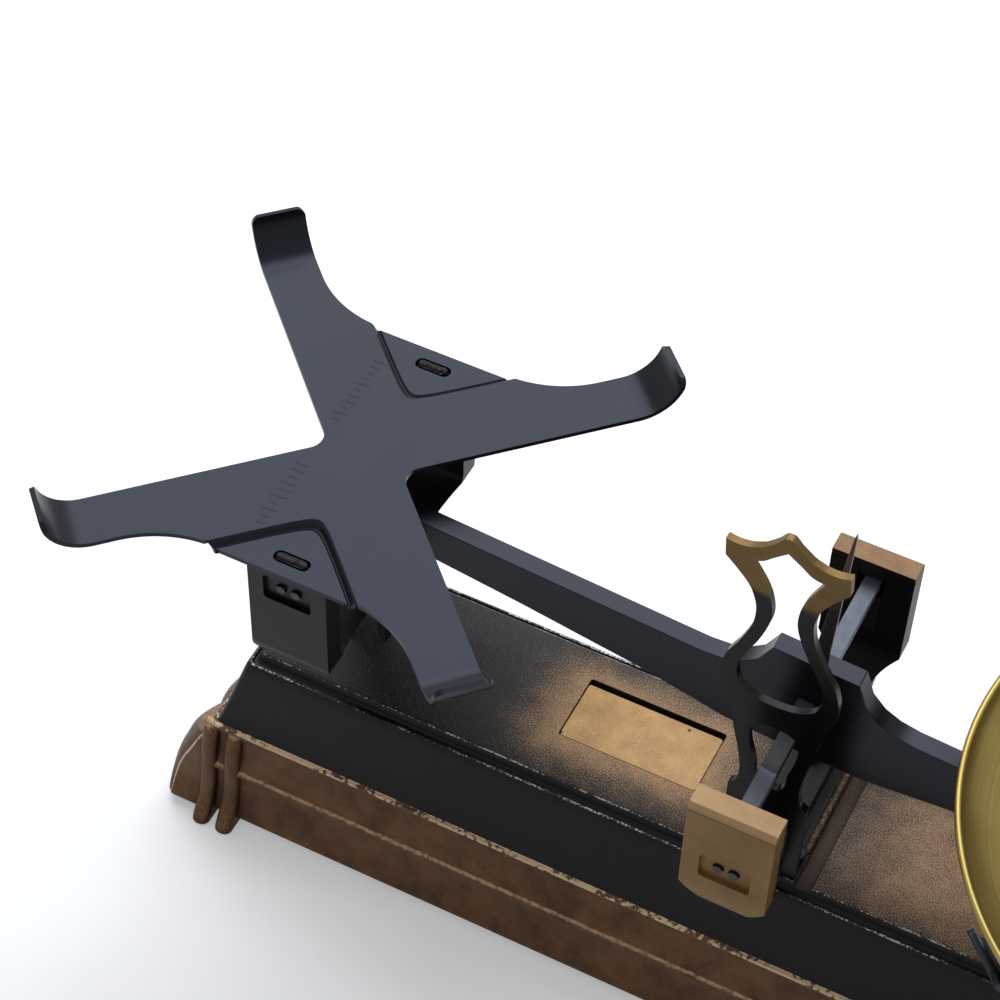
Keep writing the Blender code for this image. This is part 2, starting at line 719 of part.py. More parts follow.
stand_base = DECK_HEIGHT + GAP
stand_head_top = DECK_HEIGHT + STAND_TOP - CAP_THICKNESS - GAP
stand_head_foot = DECK_HEIGHT + STAND_HEAD_FOOT
stand_foot_top = DECK_HEIGHT + STAND_FOOT_THICKNESS
stand = build_bracket(
    "fulcrum_stand", None,
    bracket_side_outline(
        STAND_HALF_GAP, stand_head_top, stand_head_foot, STAND_FOOT_HALF, stand_foot_top, stand_base),
    bracket_front_outline(
        STAND_HALF_WIDTH, STAND_NECK_HALF, stand_head_top + OVERRUN, stand_head_foot,
        stand_base - OVERRUN, STAND_HEAD_FOOT / 2),
    STAND_HALF_WIDTH, STAND_HALF_GAP + HEAD_THICKNESS,
)
cut_heads(stand, None, STAND_HALF_GAP, KNIFE_HEIGHT, -1, stand_head_top + OVERRUN)
shape = bmesh.new()
for end in (-1, 1):
    add_rod(
        shape, "Z", 0.0, end * BOLT_PLACE, BOLT_RADIUS + GAP, stand_base - OVERRUN,
        stand_foot_top + OVERRUN, 12)
combine(stand, make_tool("stand_bolt_holes", shape), "DIFFERENCE")

for side, label in ((-1, "front"), (1, "rear")):
    build_bearing("stand_bearing_" + label, None, STAND_HALF_GAP, KNIFE_HEIGHT, -1, side)

    # Cap over the bearing pocket: a slab with a tongue that drops into the pocket
    outer = STAND_HALF_GAP + HEAD_THICKNESS
    cap_top = DECK_HEIGHT + STAND_TOP
    cap_bottom = cap_top - CAP_THICKNESS
    tongue_bottom = cap_bottom - CAP_TONGUE
    tongue_start = STAND_HALF_GAP + GAP
    tongue_end = STAND_HALF_GAP + POCKET_DEPTH - GAP
    shape = bmesh.new()
    outline = [
        (STAND_HALF_GAP, cap_bottom), (outer, cap_bottom), (outer, cap_top - CAP_BEVEL),
        (outer - CAP_BEVEL, cap_top), (STAND_HALF_GAP, cap_top),
    ]
    add_prism(shape, [(side * a, b) for a, b in outline], "X", -STAND_HALF_WIDTH, STAND_HALF_WIDTH)
    cap = make_object("stand_cap_" + label, shape, GOLD_PAINT)
    shape = bmesh.new()
    half = POCKET_HALF - GAP
    lows = (-half, min(side * tongue_start, side * tongue_end), tongue_bottom)
    highs = (half, max(side * tongue_start, side * tongue_end), cap_bottom + GAP)
    add_box(shape, lows, highs)
    combine(cap, make_tool("cap_tongue_" + label, shape), "UNION")

    # Bolt through stand, deck and hanger, with its nut under the hanger
    hanger_bottom = DECK_HEIGHT - DECK_THICKNESS - GAP - HANGER_PLATE
    shape = bmesh.new()
    place = side * BOLT_PLACE
    add_rod(
        shape, "Z", 0.0, place, BOLT_HEAD_RADIUS, stand_foot_top + GAP,
        stand_foot_top + GAP + BOLT_HEAD_HEIGHT, 6)
    bolt = make_object("stand_bolt_" + label, shape, STEEL)
    shape = bmesh.new()
    add_rod(
        shape, "Z", 0.0, place, BOLT_RADIUS, hanger_bottom - GAP - NUT_HEIGHT - BOLT_RADIUS / 2,
        stand_foot_top + BOLT_HEAD_HEIGHT / 2, 12)
    combine(bolt, make_tool("bolt_shank_" + label, shape), "UNION")
    shape = bmesh.new()
    add_rod(
        shape, "Z", 0.0, place, BOLT_HEAD_RADIUS, hanger_bottom - GAP - NUT_HEIGHT, hanger_bottom - GAP, 6)
    nut = make_object("stand_nut_" + label, shape, STEEL)
    shape = bmesh.new()
    add_rod(
        shape, "Z", 0.0, place, BOLT_RADIUS + GAP, hanger_bottom - NUT_HEIGHT - OVERRUN,
        hanger_bottom + OVERRUN, 12)
    combine(nut, make_tool("nut_hole_" + label, shape), "DIFFERENCE")

# Crown frame

def crown_points(shares):
    return [(a * CROWN_HALF, DECK_HEIGHT + b * CROWN_HEIGHT) for a, b in shares]


def curved(outline):
    start = DECK_HEIGHT + CROWN_CURVE_START
    bend = CROWN_CURVE / (CROWN_HEIGHT - CROWN_CURVE_START)
    points = []
    for a, b in outline:
        turn = (b - start) * bend
        if turn > 0:
            b = start + math.sin(turn) / bend + a * math.sin(turn)
            a = a * math.cos(turn) - (1 - math.cos(turn)) / bend
        points.append((a, b))
    return points


crown_front = -CROWN_PLACE - CROWN_THICKNESS / 2
crown_rear = -CROWN_PLACE + CROWN_THICKNESS / 2
bridge = DECK_HEIGHT + CROWN_BRIDGE_HEIGHT
right_half = [
    (CROWN_LEG_INNER, bridge), (CROWN_LEG_INNER, stand_base), (CROWN_FOOT_HALF, stand_base),
    *crown_points(CROWN_OUTER_SHARES), (0.0, DECK_HEIGHT + CROWN_HEIGHT),
]
shape = bmesh.new()
add_prism(
    shape,
    curved([(0.0, bridge + CROWN_BRIDGE_RISE)] + mirror_outline(right_half)),
    "Y", crown_front, crown_rear,
)
crown = make_object("crown_frame", shape, BLACK_ENAMEL)
shape = bmesh.new()
for shares in (CROWN_SIGHT_SHARES, CROWN_ARCH_SHARES):
    add_prism(
        shape, curved(mirror_outline(crown_points(shares))), "Y", crown_front - OVERRUN,
        crown_rear + OVERRUN)
combine(crown, make_tool("crown_openings", shape), "DIFFERENCE")
lugs = bmesh.new()
lug_holes = bmesh.new()
for end, label in ((-1, "left"), (1, "right")):
    inner = end * CROWN_LEG_INNER
    outer = end * CROWN_FOOT_HALF
    low = (min(inner, outer), crown_rear - CROWN_THICKNESS / 2, stand_base)
    high = (max(inner, outer), crown_rear + LUG_REACH, stand_base + LUG_THICKNESS)
    add_box(lugs, low, high)
    add_rod(
        lug_holes, "Z", end * LUG_HOLE_X, LUG_HOLE_Y, SCREW_RADIUS + GAP, DECK_HEIGHT,
        stand_base + LUG_THICKNESS + OVERRUN, 12)
    screw_seat = stand_base + LUG_THICKNESS + GAP
    shape = bmesh.new()
    add_rod(
        shape, "Z", end * LUG_HOLE_X, LUG_HOLE_Y, SCREW_HEAD_RADIUS, screw_seat,
        screw_seat + SCREW_HEAD_HEIGHT, 12)
    screw = make_object("crown_screw_" + label, shape, STEEL)
    shape = bmesh.new()
    add_rod(
        shape, "Z", end * LUG_HOLE_X, LUG_HOLE_Y, SCREW_RADIUS, screw_seat - SCREW_LENGTH,
        screw_seat + SCREW_HEAD_HEIGHT / 2, 12)
    combine(screw, make_tool("screw_shank_" + label, shape), "UNION")
combine(crown, make_tool("crown_lugs", lugs), "UNION")
combine(crown, make_tool("crown_lug_holes", lug_holes), "DIFFERENCE")

# Beam, with its knives and needle, drawn level about the centre knife's edge

def knife_outline(edge, toward_body, depth, clearance=0.0):
    half = KNIFE_HALF + clearance
    edge_reach = clearance * 1.5
    return (
        (0.0, edge - toward_body * edge_reach),
        (half, edge + toward_body * (KNIFE_EDGE_RISE - clearance)),
        (half, edge + toward_body * (depth + clearance)),
        (-half, edge + toward_body * (depth + clearance)),
        (-half, edge + toward_body * (KNIFE_EDGE_RISE - clearance)),
    )


def moved(outline, shift):
    return [(a + shift, b) for a, b in outline]


beam_half = BEAM_THICKNESS / 2
boss_end = ARM + BEAM_BOSS_HALF
boss_start = ARM - BEAM_BOSS_HALF
right_half = [(0.0, -BEAM_MIDDLE_DEPTH)]
belly = BEAM_MIDDLE_DEPTH - BEAM_END_DEPTH
for out_share, fullness in BELLY_SHARES:
    right_half.append((ARM * out_share, -BEAM_END_DEPTH - belly * fullness))
right_half += [
    (boss_start - BEAM_BOSS_BLEND, -BEAM_END_DEPTH),
    (boss_start, -BEAM_BOSS_DEPTH),
    (boss_end - BEAM_CHAMFER, -BEAM_BOSS_DEPTH),
    (boss_end, -BEAM_BOSS_DEPTH + BEAM_CHAMFER),
    (boss_end, BEAM_TOP - BEAM_CHAMFER),
    (boss_end - BEAM_CHAMFER, BEAM_TOP),
    (BEAM_HEAD_HALF + BEAM_HEAD_SPREAD, BEAM_TOP),
]
head_rise = BEAM_HEAD_TOP - BEAM_TOP
for out_share, rise_share in reversed(HEAD_FOOT_SHARES):
    right_half.append((BEAM_HEAD_HALF + BEAM_HEAD_SPREAD * out_share, BEAM_TOP + head_rise * rise_share))
right_half += [(BEAM_HEAD_HALF, BEAM_HEAD_TOP), (0.0, BEAM_HEAD_TOP)]
shape = bmesh.new()
add_prism(shape, mirror_outline(right_half), "Y", -beam_half, beam_half)
beam = make_object("beam", shape, BLACK_ENAMEL, beam_pivot)
cuts = bmesh.new()
cut_reach = beam_half + OVERRUN
add_prism(cuts, knife_outline(0.0, 1, CENTRE_KNIFE_DEPTH, GAP), "Y", -cut_reach, cut_reach)
for end in (-1, 1):
    outline = moved(knife_outline(0.0, -1, END_KNIFE_DEPTH, GAP), end * ARM)
    add_prism(cuts, outline, "Y", -cut_reach, cut_reach)
slot_half = NEEDLE_THICKNESS / 2 + GAP
add_box(
    cuts,
    (-TANG_HALF - GAP, -slot_half, BEAM_HEAD_TOP - TANG_LENGTH - GAP),
    (TANG_HALF + GAP, slot_half, BEAM_HEAD_TOP + OVERRUN),
)
combine(beam, make_tool("beam_cuts", cuts, beam_pivot), "DIFFERENCE")

knives = (
    ("centre_knife", 0.0, 1, CENTRE_KNIFE_DEPTH, STAND_HALF_GAP + KNIFE_ENTRY),
    ("left_knife", -ARM, -1, END_KNIFE_DEPTH, YOKE_HALF_GAP + KNIFE_ENTRY),
    ("right_knife", ARM, -1, END_KNIFE_DEPTH, YOKE_HALF_GAP + KNIFE_ENTRY),
)
for name, place, toward_body, depth, reach in knives:
    shape = bmesh.new()
    add_prism(shape, moved(knife_outline(0.0, toward_body, depth), place), "Y", -reach, reach)
    make_object(name, shape, STEEL, beam_pivot)

shape = bmesh.new()
foot = BEAM_HEAD_TOP + GAP
right_half = [
    (TANG_HALF, BEAM_HEAD_TOP - TANG_LENGTH), (TANG_HALF, foot), (NEEDLE_HALF, foot),
    (NEEDLE_TIP_HALF, NEEDLE_REACH - NEEDLE_POINT), (0.0, NEEDLE_REACH),
]
half = NEEDLE_THICKNESS / 2
add_prism(shape, mirror_outline(right_half), "Y", -half, half)
make_object("needle", shape, STEEL, beam_pivot)

# Carriers: yoke, bearings, stem and pan support, drawn about the end knife's edge

def build_yoke(label, parent):
    cheek_top = PLATE_TOP - SHEET - PANEL_DROP - GAP
    yoke = build_bracket(
        label + "_yoke", parent,
        bracket_side_outline(
            YOKE_HALF_GAP, cheek_top, -YOKE_CHEEK_FOOT, YOKE_HALF_GAP / 2, -YOKE_DEPTH + YOKE_WEB,
            -YOKE_DEPTH),
        bracket_front_outline(
            YOKE_HALF_WIDTH, YOKE_NECK_HALF, cheek_top + OVERRUN, -YOKE_CHEEK_FOOT,
            -YOKE_DEPTH - OVERRUN, YOKE_DEPTH - YOKE_CHEEK_FOOT),
        YOKE_HALF_WIDTH, YOKE_HALF_GAP + HEAD_THICKNESS,
    )
    cut_heads(yoke, parent, YOKE_HALF_GAP, 0.0, 1, -END_KNIFE_DEPTH - OVERRUN)
    tenons = bmesh.new()
    middle = YOKE_HALF_GAP + HEAD_THICKNESS / 2
    tenon_top = PLATE_TOP - PANEL_DROP + TENON_PROUD
    for side in (-1, 1):
        add_box(
            tenons,
            (-TENON_HALF_LENGTH, side * middle - TENON_HALF_WIDTH, cheek_top - OVERRUN),
            (TENON_HALF_LENGTH, side * middle + TENON_HALF_WIDTH, tenon_top),
        )
    combine(yoke, make_tool(label + "_tenons", tenons, parent), "UNION")
    socket = bmesh.new()
    half = STEM_THICKNESS / 2 + GAP
    add_box(
        socket,
        (-STEM_TENON_HALF - GAP, -half, -YOKE_DEPTH - OVERRUN),
        (STEM_TENON_HALF + GAP, half, -YOKE_DEPTH + YOKE_WEB + OVERRUN),
    )
    combine(yoke, make_tool(label + "_socket", socket, parent), "DIFFERENCE")
    hole = bmesh.new()
    reach = YOKE_HALF_WIDTH + OVERRUN
    add_rod(hole, "X", 0.0, -RIVET_DROP, RIVET_RADIUS + GAP, -reach, reach, 12)
    combine(yoke, make_tool(label + "_rivet_hole", hole, parent), "DIFFERENCE")


def build_stem(label, parent):
    shoulder = -YOKE_DEPTH - GAP
    tail = -STAY_DROP - STEM_TAIL
    half = STEM_THICKNESS / 2
    outline = mirror_outline([
        (STEM_HALF, tail), (STEM_HALF, shoulder), (STEM_TENON_HALF, shoulder),
        (STEM_TENON_HALF, -YOKE_DEPTH + YOKE_WEB),
    ])
    shape = bmesh.new()
    add_prism(shape, outline, "Y", -half, half)
    stem = make_object(label + "_stem", shape, STEEL, parent)
    fork = bmesh.new()
    fork_half = STAY_THICKNESS / 2 + GAP + FORK_WALL
    add_box(
        fork,
        (-STEM_HALF - GAP, -fork_half, tail - GAP),
        (STEM_HALF + GAP, fork_half, -STAY_DROP + FORK_TOP),
    )
    combine(stem, make_tool(label + "_fork", fork, parent), "UNION")
    cuts = bmesh.new()
    slot = STAY_THICKNESS / 2 + GAP
    add_box(
        cuts,
        (-STEM_HALF - OVERRUN, -slot, tail - OVERRUN),
        (STEM_HALF + OVERRUN, slot, -STAY_DROP + FORK_SLOT_TOP),
    )
    combine(stem, make_tool(label + "_fork_slot", cuts, parent), "DIFFERENCE")
    holes = bmesh.new()
    reach = fork_half + OVERRUN
    add_rod(holes, "Y", 0.0, -STAY_DROP, STAY_PIN_RADIUS + GAP, -reach, reach, 16)
    combine(stem, make_tool(label + "_pin_hole", holes, parent), "DIFFERENCE")
    rivet_hole = bmesh.new()
    reach = STEM_HALF + OVERRUN
    add_rod(rivet_hole, "X", 0.0, -RIVET_DROP, RIVET_RADIUS + GAP, -reach, reach, 12)
    combine(stem, make_tool(label + "_stem_rivet_hole", rivet_hole, parent), "DIFFERENCE")

    shape = bmesh.new()
    reach = fork_half + PIN_PROUD
    add_rod(shape, "Y", 0.0, -STAY_DROP, STAY_PIN_RADIUS, -reach, reach, 16)
    make_object(label + "_stay_pin", shape, STEEL, parent)
    shape = bmesh.new()
    reach = YOKE_NECK_HALF + PIN_PROUD * 2
    add_rod(shape, "X", 0.0, -RIVET_DROP, RIVET_RADIUS, -reach, reach, 12)
    make_object(label + "_stem_rivet", shape, STEEL, parent)


# Pan support: a flat X cut from sheet, then pressed. It is laid out flat and mapped to its form.

DIAGONAL = math.sqrt(0.5)
TIP_REACH = FLAT_REACH + TIP_BEND * math.radians(TIP_ANGLE)


def support_outline():
    arm_half = ARM_STRIP / 2
    notch = arm_half / DIAGONAL
    tip_upper = ((TIP_REACH - arm_half) * DIAGONAL, (TIP_REACH + arm_half) * DIAGONAL)
    tip_lower = (tip_upper[1], tip_upper[0])
    web_corner = (WEB_EDGE - notch, WEB_EDGE)
    corners = (
        ((0.0, WEB_EDGE), web_corner, tip_upper, WEB_FILLET, 8),
        (web_corner, tip_upper, tip_lower, TIP_FILLET, 3),
        (tip_upper, tip_lower, (notch, 0.0), TIP_FILLET, 3),
    )
    quarter = []
    for before, corner, after, radius, steps in corners:
        quarter += fillet(before, corner, after, radius, steps)
    right = fillet(tip_lower, (notch, 0.0), (tip_lower[0], -tip_lower[1]), NOTCH_FILLET, 4)
    outline = list(quarter)
    outline += right
    outline += [(a, -b) for a, b in reversed(quarter)]
    outline += [(-a, -b) for a, b in quarter]
    outline += [(-a, -b) for a, b in right]
    outline += [(-a, b) for a, b in reversed(quarter)]
    return outline


def panel_lines():
    lines = []
    for side in (-1, 1):
        for apex in (PANEL_APEX, PANEL_APEX + PANEL_SLOPE):
            reach = WEB_EDGE + OVERRUN
            left = (-(reach - apex), side * reach)
            right = (reach - apex, side * reach)
            lines.append([left] + fillet(left, (0.0, side * apex), right, PANEL_ROUND, 4) + [right])
    return lines


def tenon_slots():
    slots = []
    half_length = TENON_HALF_LENGTH + GAP
    half_width = TENON_HALF_WIDTH + GAP
    for side in (-1, 1):
        middle = side * (YOKE_HALF_GAP + HEAD_THICKNESS / 2)
        slots.append([
            (-half_length, middle - half_width), (half_length, middle - half_width),
            (half_length, middle + half_width), (-half_length, middle + half_width),
        ])
    return slots


def bend_lines():
    lines = []
    arm_half = ARM_STRIP / 2 + OVERRUN
    for i in range(BEND_STEPS):
        reach = FLAT_REACH + (TIP_REACH - FLAT_REACH) * i / BEND_STEPS
        for side_a in (-1, 1):
            for side_b in (-1, 1):
                lines.append([
                    (side_a * (reach - arm_half) * DIAGONAL, side_b * (reach + arm_half) * DIAGONAL),
                    (side_a * (reach + arm_half) * DIAGONAL, side_b * (reach - arm_half) * DIAGONAL),
                ])
    return lines


def is_inside(point, outline):
    inside = False
    for (a, b), (c, d) in zip(outline, outline[1:] + outline[:1]):
        if (b > point[1]) != (d > point[1]):
            if point[0] < a + (c - a) * (point[1] - b) / (d - b):
                inside = not inside
    return inside


def pressed_place(a, b):
    reach = (abs(a) + abs(b)) * DIAGONAL
    rise = 0.0
    if abs(b) - abs(a) > PANEL_APEX + PANEL_SLOPE - GAP / 10:
        rise = -PANEL_DROP
    if reach > FLAT_REACH:
        turn = (reach - FLAT_REACH) / TIP_BEND
        drawn_in = (reach - FLAT_REACH - TIP_BEND * math.sin(turn)) * DIAGONAL
        a -= math.copysign(drawn_in, a)
        b -= math.copysign(drawn_in, b)
        rise = TIP_BEND * (1 - math.cos(turn))
    return (a, b, PLATE_TOP + rise)


def build_support(label, parent):
    outline = support_outline()
    slots = tenon_slots()
    points = []
    edges = []
    for line, closed in [(outline, True)] + [(slot, True) for slot in slots] + [
            (line, False) for line in panel_lines() + bend_lines()]:
        first = len(points)
        points += line
        last = len(line) if closed else len(line) - 1
        edges += [(first + i, first + (i + 1) % len(line)) for i in range(last)]
    flat_points, _, faces, _, _, _ = delaunay_2d_cdt(points, edges, [], 0, GAP / 100)
    shape = bmesh.new()
    made = [shape.verts.new(pressed_place(point[0], point[1])) for point in flat_points]
    for face in faces:
        middle = [sum(flat_points[i][k] for i in face) / len(face) for k in (0, 1)]
        if is_inside(middle, outline) and not any(is_inside(middle, slot) for slot in slots):
            corners = [made[i] for i in face]
            shape.faces.new(corners)
    bmesh.ops.delete(shape, geom=[v for v in shape.verts if not v.link_faces], context="VERTS")
    for face in shape.faces:
        face.normal_update()
        if face.normal.z < 0:
            face.normal_flip()
    mesh = bpy.data.meshes.new(label + "_pan_support")
    shape.to_mesh(mesh)
    shape.free()
    support = bpy.data.objects.new(label + "_pan_support", mesh)
    bpy.context.scene.collection.objects.link(support)
    mesh.materials.append(BLACK_ENAMEL)
    support.parent = parent
    wall = support.modifiers.new("sheet", "SOLIDIFY")
    wall.thickness = SHEET
    wall.offset = -1
    wall.use_even_offset = True


for label, parent in carrier_pivots.items():
    build_yoke(label, parent)
    for side, end_label in ((-1, "front"), (1, "rear")):
        build_bearing(label + "_yoke_bearing_" + end_label, parent, YOKE_HALF_GAP, 0.0, 1, side)
    build_stem(label, parent)
    build_support(label, parent)

# Stay bar, drawn level about its middle pin

shape = bmesh.new()
stay_end = ARM + STAY_END
corner = STAY_HALF_DEPTH / 2
right_half = [
    (stay_end - corner, -STAY_HALF_DEPTH), (stay_end, -STAY_HALF_DEPTH + corner),
    (stay_end, STAY_HALF_DEPTH - corner), (stay_end - corner, STAY_HALF_DEPTH),
]
half = STAY_THICKNESS / 2
add_prism(shape, mirror_outline(right_half), "Y", -half, half)
stay = make_object("stay_bar", shape, STEEL, stay_pivot)
shape = bmesh.new()
for place in (-ARM, 0.0, ARM):
    add_rod(shape, "Y", place, 0.0, STAY_PIN_RADIUS + GAP, -half - OVERRUN, half + OVERRUN, 16)
combine(stay, make_tool("stay_holes", shape, stay_pivot), "DIFFERENCE")

# Stay hanger under the deck, with the stay's middle pin

plate_top = DECK_HEIGHT - DECK_THICKNESS - GAP
plate_bottom = plate_top - HANGER_PLATE
slot = STAY_THICKNESS / 2 + GAP
cheek = slot + HANGER_CHEEK
tail = STAY_HEIGHT - HANGER_TAIL
right_half = [
    (slot, plate_bottom - HANGER_CHEEK), (slot, tail), (cheek, tail), (cheek, plate_bottom),
    (HANGER_HALF_WIDTH, plate_bottom), (HANGER_HALF_WIDTH, plate_top),
]
shape = bmesh.new()
add_prism(shape, mirror_outline(right_half), "X", -HANGER_HALF_LENGTH, HANGER_HALF_LENGTH)
hanger = make_object("stay_hanger", shape, BLACK_ENAMEL)
shape = bmesh.new()
for end in (-1, 1):
    add_rod(
        shape, "Z", 0.0, end * BOLT_PLACE, BOLT_RADIUS + GAP, plate_bottom - OVERRUN,
        plate_top + OVERRUN, 12)
add_rod(shape, "Y", 0.0, STAY_HEIGHT, STAY_PIN_RADIUS + GAP, -cheek - OVERRUN, cheek + OVERRUN, 16)
combine(hanger, make_tool("hanger_holes", shape), "DIFFERENCE")
shape = bmesh.new()
reach = cheek + PIN_PROUD
add_rod(shape, "Y", 0.0, STAY_HEIGHT, STAY_PIN_RADIUS, -reach, reach, 16)
make_object("stay_centre_pin", shape, STEEL)

# Pan, resting on the right support

def pan_profile():
    floor = PLATE_TOP + GAP
    outer = [(0.0, floor), (PAN_FLAT, floor)]
    inner = [(0.0, floor + PAN_SHEET), (PAN_FLAT, floor + PAN_SHEET)]
    inner_bend = PAN_WALL_BEND - PAN_SHEET
    last = math.acos(1 - PAN_DEPTH / PAN_WALL_BEND)
    for i in range(1, WALL_BEND_STEPS + 1):
        angle = last * i / WALL_BEND_STEPS
        across = math.sin(angle)
        down = math.cos(angle)
        outer.append((PAN_FLAT + PAN_WALL_BEND * across, floor + PAN_WALL_BEND * (1 - down)))
        inner.append((PAN_FLAT + inner_bend * across, floor + PAN_WALL_BEND - inner_bend * down))
    rim_radius, rim_height = outer.pop()
    inner.pop()
    rim_height += PAN_LIP
    lip = []
    for i in range(6):
        angle = math.radians(-70 + 60 * i)
        lip.append((rim_radius + PAN_LIP * math.cos(angle), rim_height + PAN_LIP * math.sin(angle)))
    return outer + lip[:5] + list(reversed(inner))


shape = bmesh.new()
add_turned(shape, pan_profile(), PAN_STEPS)
pan = make_object("pan", shape, BRASS, carrier_pivots["right"])
pan.data.shade_smooth()
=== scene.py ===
# The looks of a table balance: an equal-arm counter scale with its pans above the beam.
# Lengths are in metres. X runs along the beam towards the pan, Y to the rear and Z up.
# Each section builds one piece, or a group of like pieces, in the order they go together.

import math

import bmesh
import bpy
from mathutils import Matrix, Vector
from mathutils.geometry import delaunay_2d_cdt


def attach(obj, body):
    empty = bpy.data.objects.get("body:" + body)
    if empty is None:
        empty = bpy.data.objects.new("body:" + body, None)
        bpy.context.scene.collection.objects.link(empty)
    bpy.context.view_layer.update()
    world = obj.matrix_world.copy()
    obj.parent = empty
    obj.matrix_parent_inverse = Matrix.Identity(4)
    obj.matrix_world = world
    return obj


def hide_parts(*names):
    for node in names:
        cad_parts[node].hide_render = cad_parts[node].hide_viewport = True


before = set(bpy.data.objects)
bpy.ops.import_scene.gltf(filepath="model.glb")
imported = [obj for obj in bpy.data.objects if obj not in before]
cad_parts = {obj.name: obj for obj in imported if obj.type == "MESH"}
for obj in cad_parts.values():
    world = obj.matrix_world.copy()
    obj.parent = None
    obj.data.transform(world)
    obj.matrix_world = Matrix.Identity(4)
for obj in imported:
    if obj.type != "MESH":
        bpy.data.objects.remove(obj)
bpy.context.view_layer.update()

# Camera, floor and studio light
# The photograph looks down on the balance from the front, a little to the right of its middle.
# A large soft lamp stands behind it, and black enamel that faces up mirrors that lamp.

CAMERA_PLACE = (0.1631, -0.6073, 0.9813)
CAMERA_AZIMUTH = 25.58
CAMERA_ELEVATION = 49.26
CAMERA_ROLL = 1.88
CAMERA_LENS = 100.86
SENSOR_WIDTH = 36.0
LAMP_PLACE = (-0.55, 1.30, 1.90)
LAMP_AIM = (-0.05, 0.0, 0.15)
LAMP_LENGTH = 2.4
LAMP_WIDTH = 1.4
LAMP_POWER = 46.0
WORLD_LIGHT = 0.27
FLOOR_SPAN = 40.0
FLOOR_GLOW = 0.32

scene = bpy.context.scene
scene.view_settings.view_transform = "Standard"
camera = bpy.data.objects.new("camera", bpy.data.cameras.new("camera"))
camera.data.lens = CAMERA_LENS
camera.data.sensor_width = SENSOR_WIDTH
turn = Matrix.Rotation(math.radians(CAMERA_AZIMUTH), 4, "Z")
tilt = Matrix.Rotation(math.radians(90 - CAMERA_ELEVATION), 4, "X")
roll = Matrix.Rotation(math.radians(CAMERA_ROLL), 4, "Z")
camera.matrix_world = Matrix.Translation(CAMERA_PLACE) @ turn @ tilt @ roll
scene.collection.objects.link(camera)
scene.camera = camera

lamp = bpy.data.objects.new("rear_softbox", bpy.data.lights.new("rear_softbox", "AREA"))
lamp.data.shape = "RECTANGLE"
lamp.data.size = LAMP_LENGTH
lamp.data.size_y = LAMP_WIDTH
lamp.data.energy = LAMP_POWER
lamp.data.color = (0.92, 0.955, 1.0)
aim = Vector(LAMP_AIM) - Vector(LAMP_PLACE)
lamp.matrix_world = Matrix.Translation(LAMP_PLACE) @ aim.to_track_quat("-Z", "Y").to_matrix().to_4x4()
scene.collection.objects.link(lamp)


def srgb(code):
    """A colour written as a hex code, turned to linear red, green, blue and alpha."""
    values = [int(code[i:i + 2], 16) / 255 for i in (1, 3, 5)]
    return [v / 12.92 if v <= 0.04045 else ((v + 0.055) / 1.055) ** 2.4 for v in values] + [1.0]


def add_node(tree, kind, inputs=None, **settings):
    """Adds a node; an input is given a value or linked to a socket."""
    node = tree.nodes.new(kind)
    for key, value in settings.items():
        setattr(node, key, value)
    for name, value in (inputs or {}).items():
        if isinstance(value, bpy.types.NodeSocket):
            tree.links.new(value, node.inputs[name])
        else:
            node.inputs[name].default_value = value
    return node


def seen_directly(tree):
    """One for what the camera sees straight, mirrored or through glass, else nought."""
    path = add_node(tree, "ShaderNodeLightPath").outputs
    seen = add_node(tree, "ShaderNodeMath", {
        0: path["Is Camera Ray"], 1: path["Is Glossy Ray"]}, operation="MAXIMUM")
    seen = add_node(tree, "ShaderNodeMath", {
        0: seen.outputs[0], 1: path["Is Transmission Ray"]}, operation="MAXIMUM")
    return seen.outputs[0]


world = bpy.data.worlds.new("studio")
world.use_nodes = True
scene.world = world
tree = world.node_tree
tree.nodes.clear()
dim = add_node(tree, "ShaderNodeBackground", {"Color": srgb("#F4F7FF"), "Strength": WORLD_LIGHT})
bright = add_node(tree, "ShaderNodeBackground", {"Color": srgb("#FFFFFF"), "Strength": 1.0})
mixed = add_node(tree, "ShaderNodeMixShader", {
    0: seen_directly(tree), 1: dim.outputs[0], 2: bright.outputs[0]})
add_node(tree, "ShaderNodeOutputWorld", {"Surface": mixed.outputs[0]})

floor_material = bpy.data.materials.new("white_floor")
floor_material.use_nodes = True
tree = floor_material.node_tree
tree.nodes.clear()
grey = add_node(tree, "ShaderNodeBsdfDiffuse", {"Color": srgb("#B0B0AC")})
white = add_node(tree, "ShaderNodeBsdfDiffuse", {"Color": srgb("#FFFFFF")})
glow = add_node(tree, "ShaderNodeEmission", {"Color": srgb("#FFFFFF"), "Strength": FLOOR_GLOW})
lifted = add_node(tree, "ShaderNodeAddShader", {0: white.outputs[0], 1: glow.outputs[0]})
mixed = add_node(tree, "ShaderNodeMixShader", {
    0: seen_directly(tree), 1: grey.outputs[0], 2: lifted.outputs[0]})
add_node(tree, "ShaderNodeOutputMaterial", {"Surface": mixed.outputs[0]})
shape = bmesh.new()
bmesh.ops.create_grid(shape, x_segments=1, y_segments=1, size=FLOOR_SPAN / 2)
floor = bpy.data.objects.new("floor", bpy.data.meshes.new("floor"))
shape.to_mesh(floor.data)
shape.free()
floor.data.materials.append(floor_material)
scene.collection.objects.link(floor)

# Base casting
# A hollow box of cast iron, open below, with a scalloped skirt at each end and two ribs at each
# corner. It is enamelled black; the skirt is painted gold, and gold is sprayed over the deck.

GAP = 0.0003
OVERRUN = 0.002
DECK_HEIGHT = 0.090
DECK_HALF_LENGTH = 0.216
DECK_HALF_WIDTH = 0.032
DECK_THICKNESS = 0.006
WALL_THICKNESS = 0.005
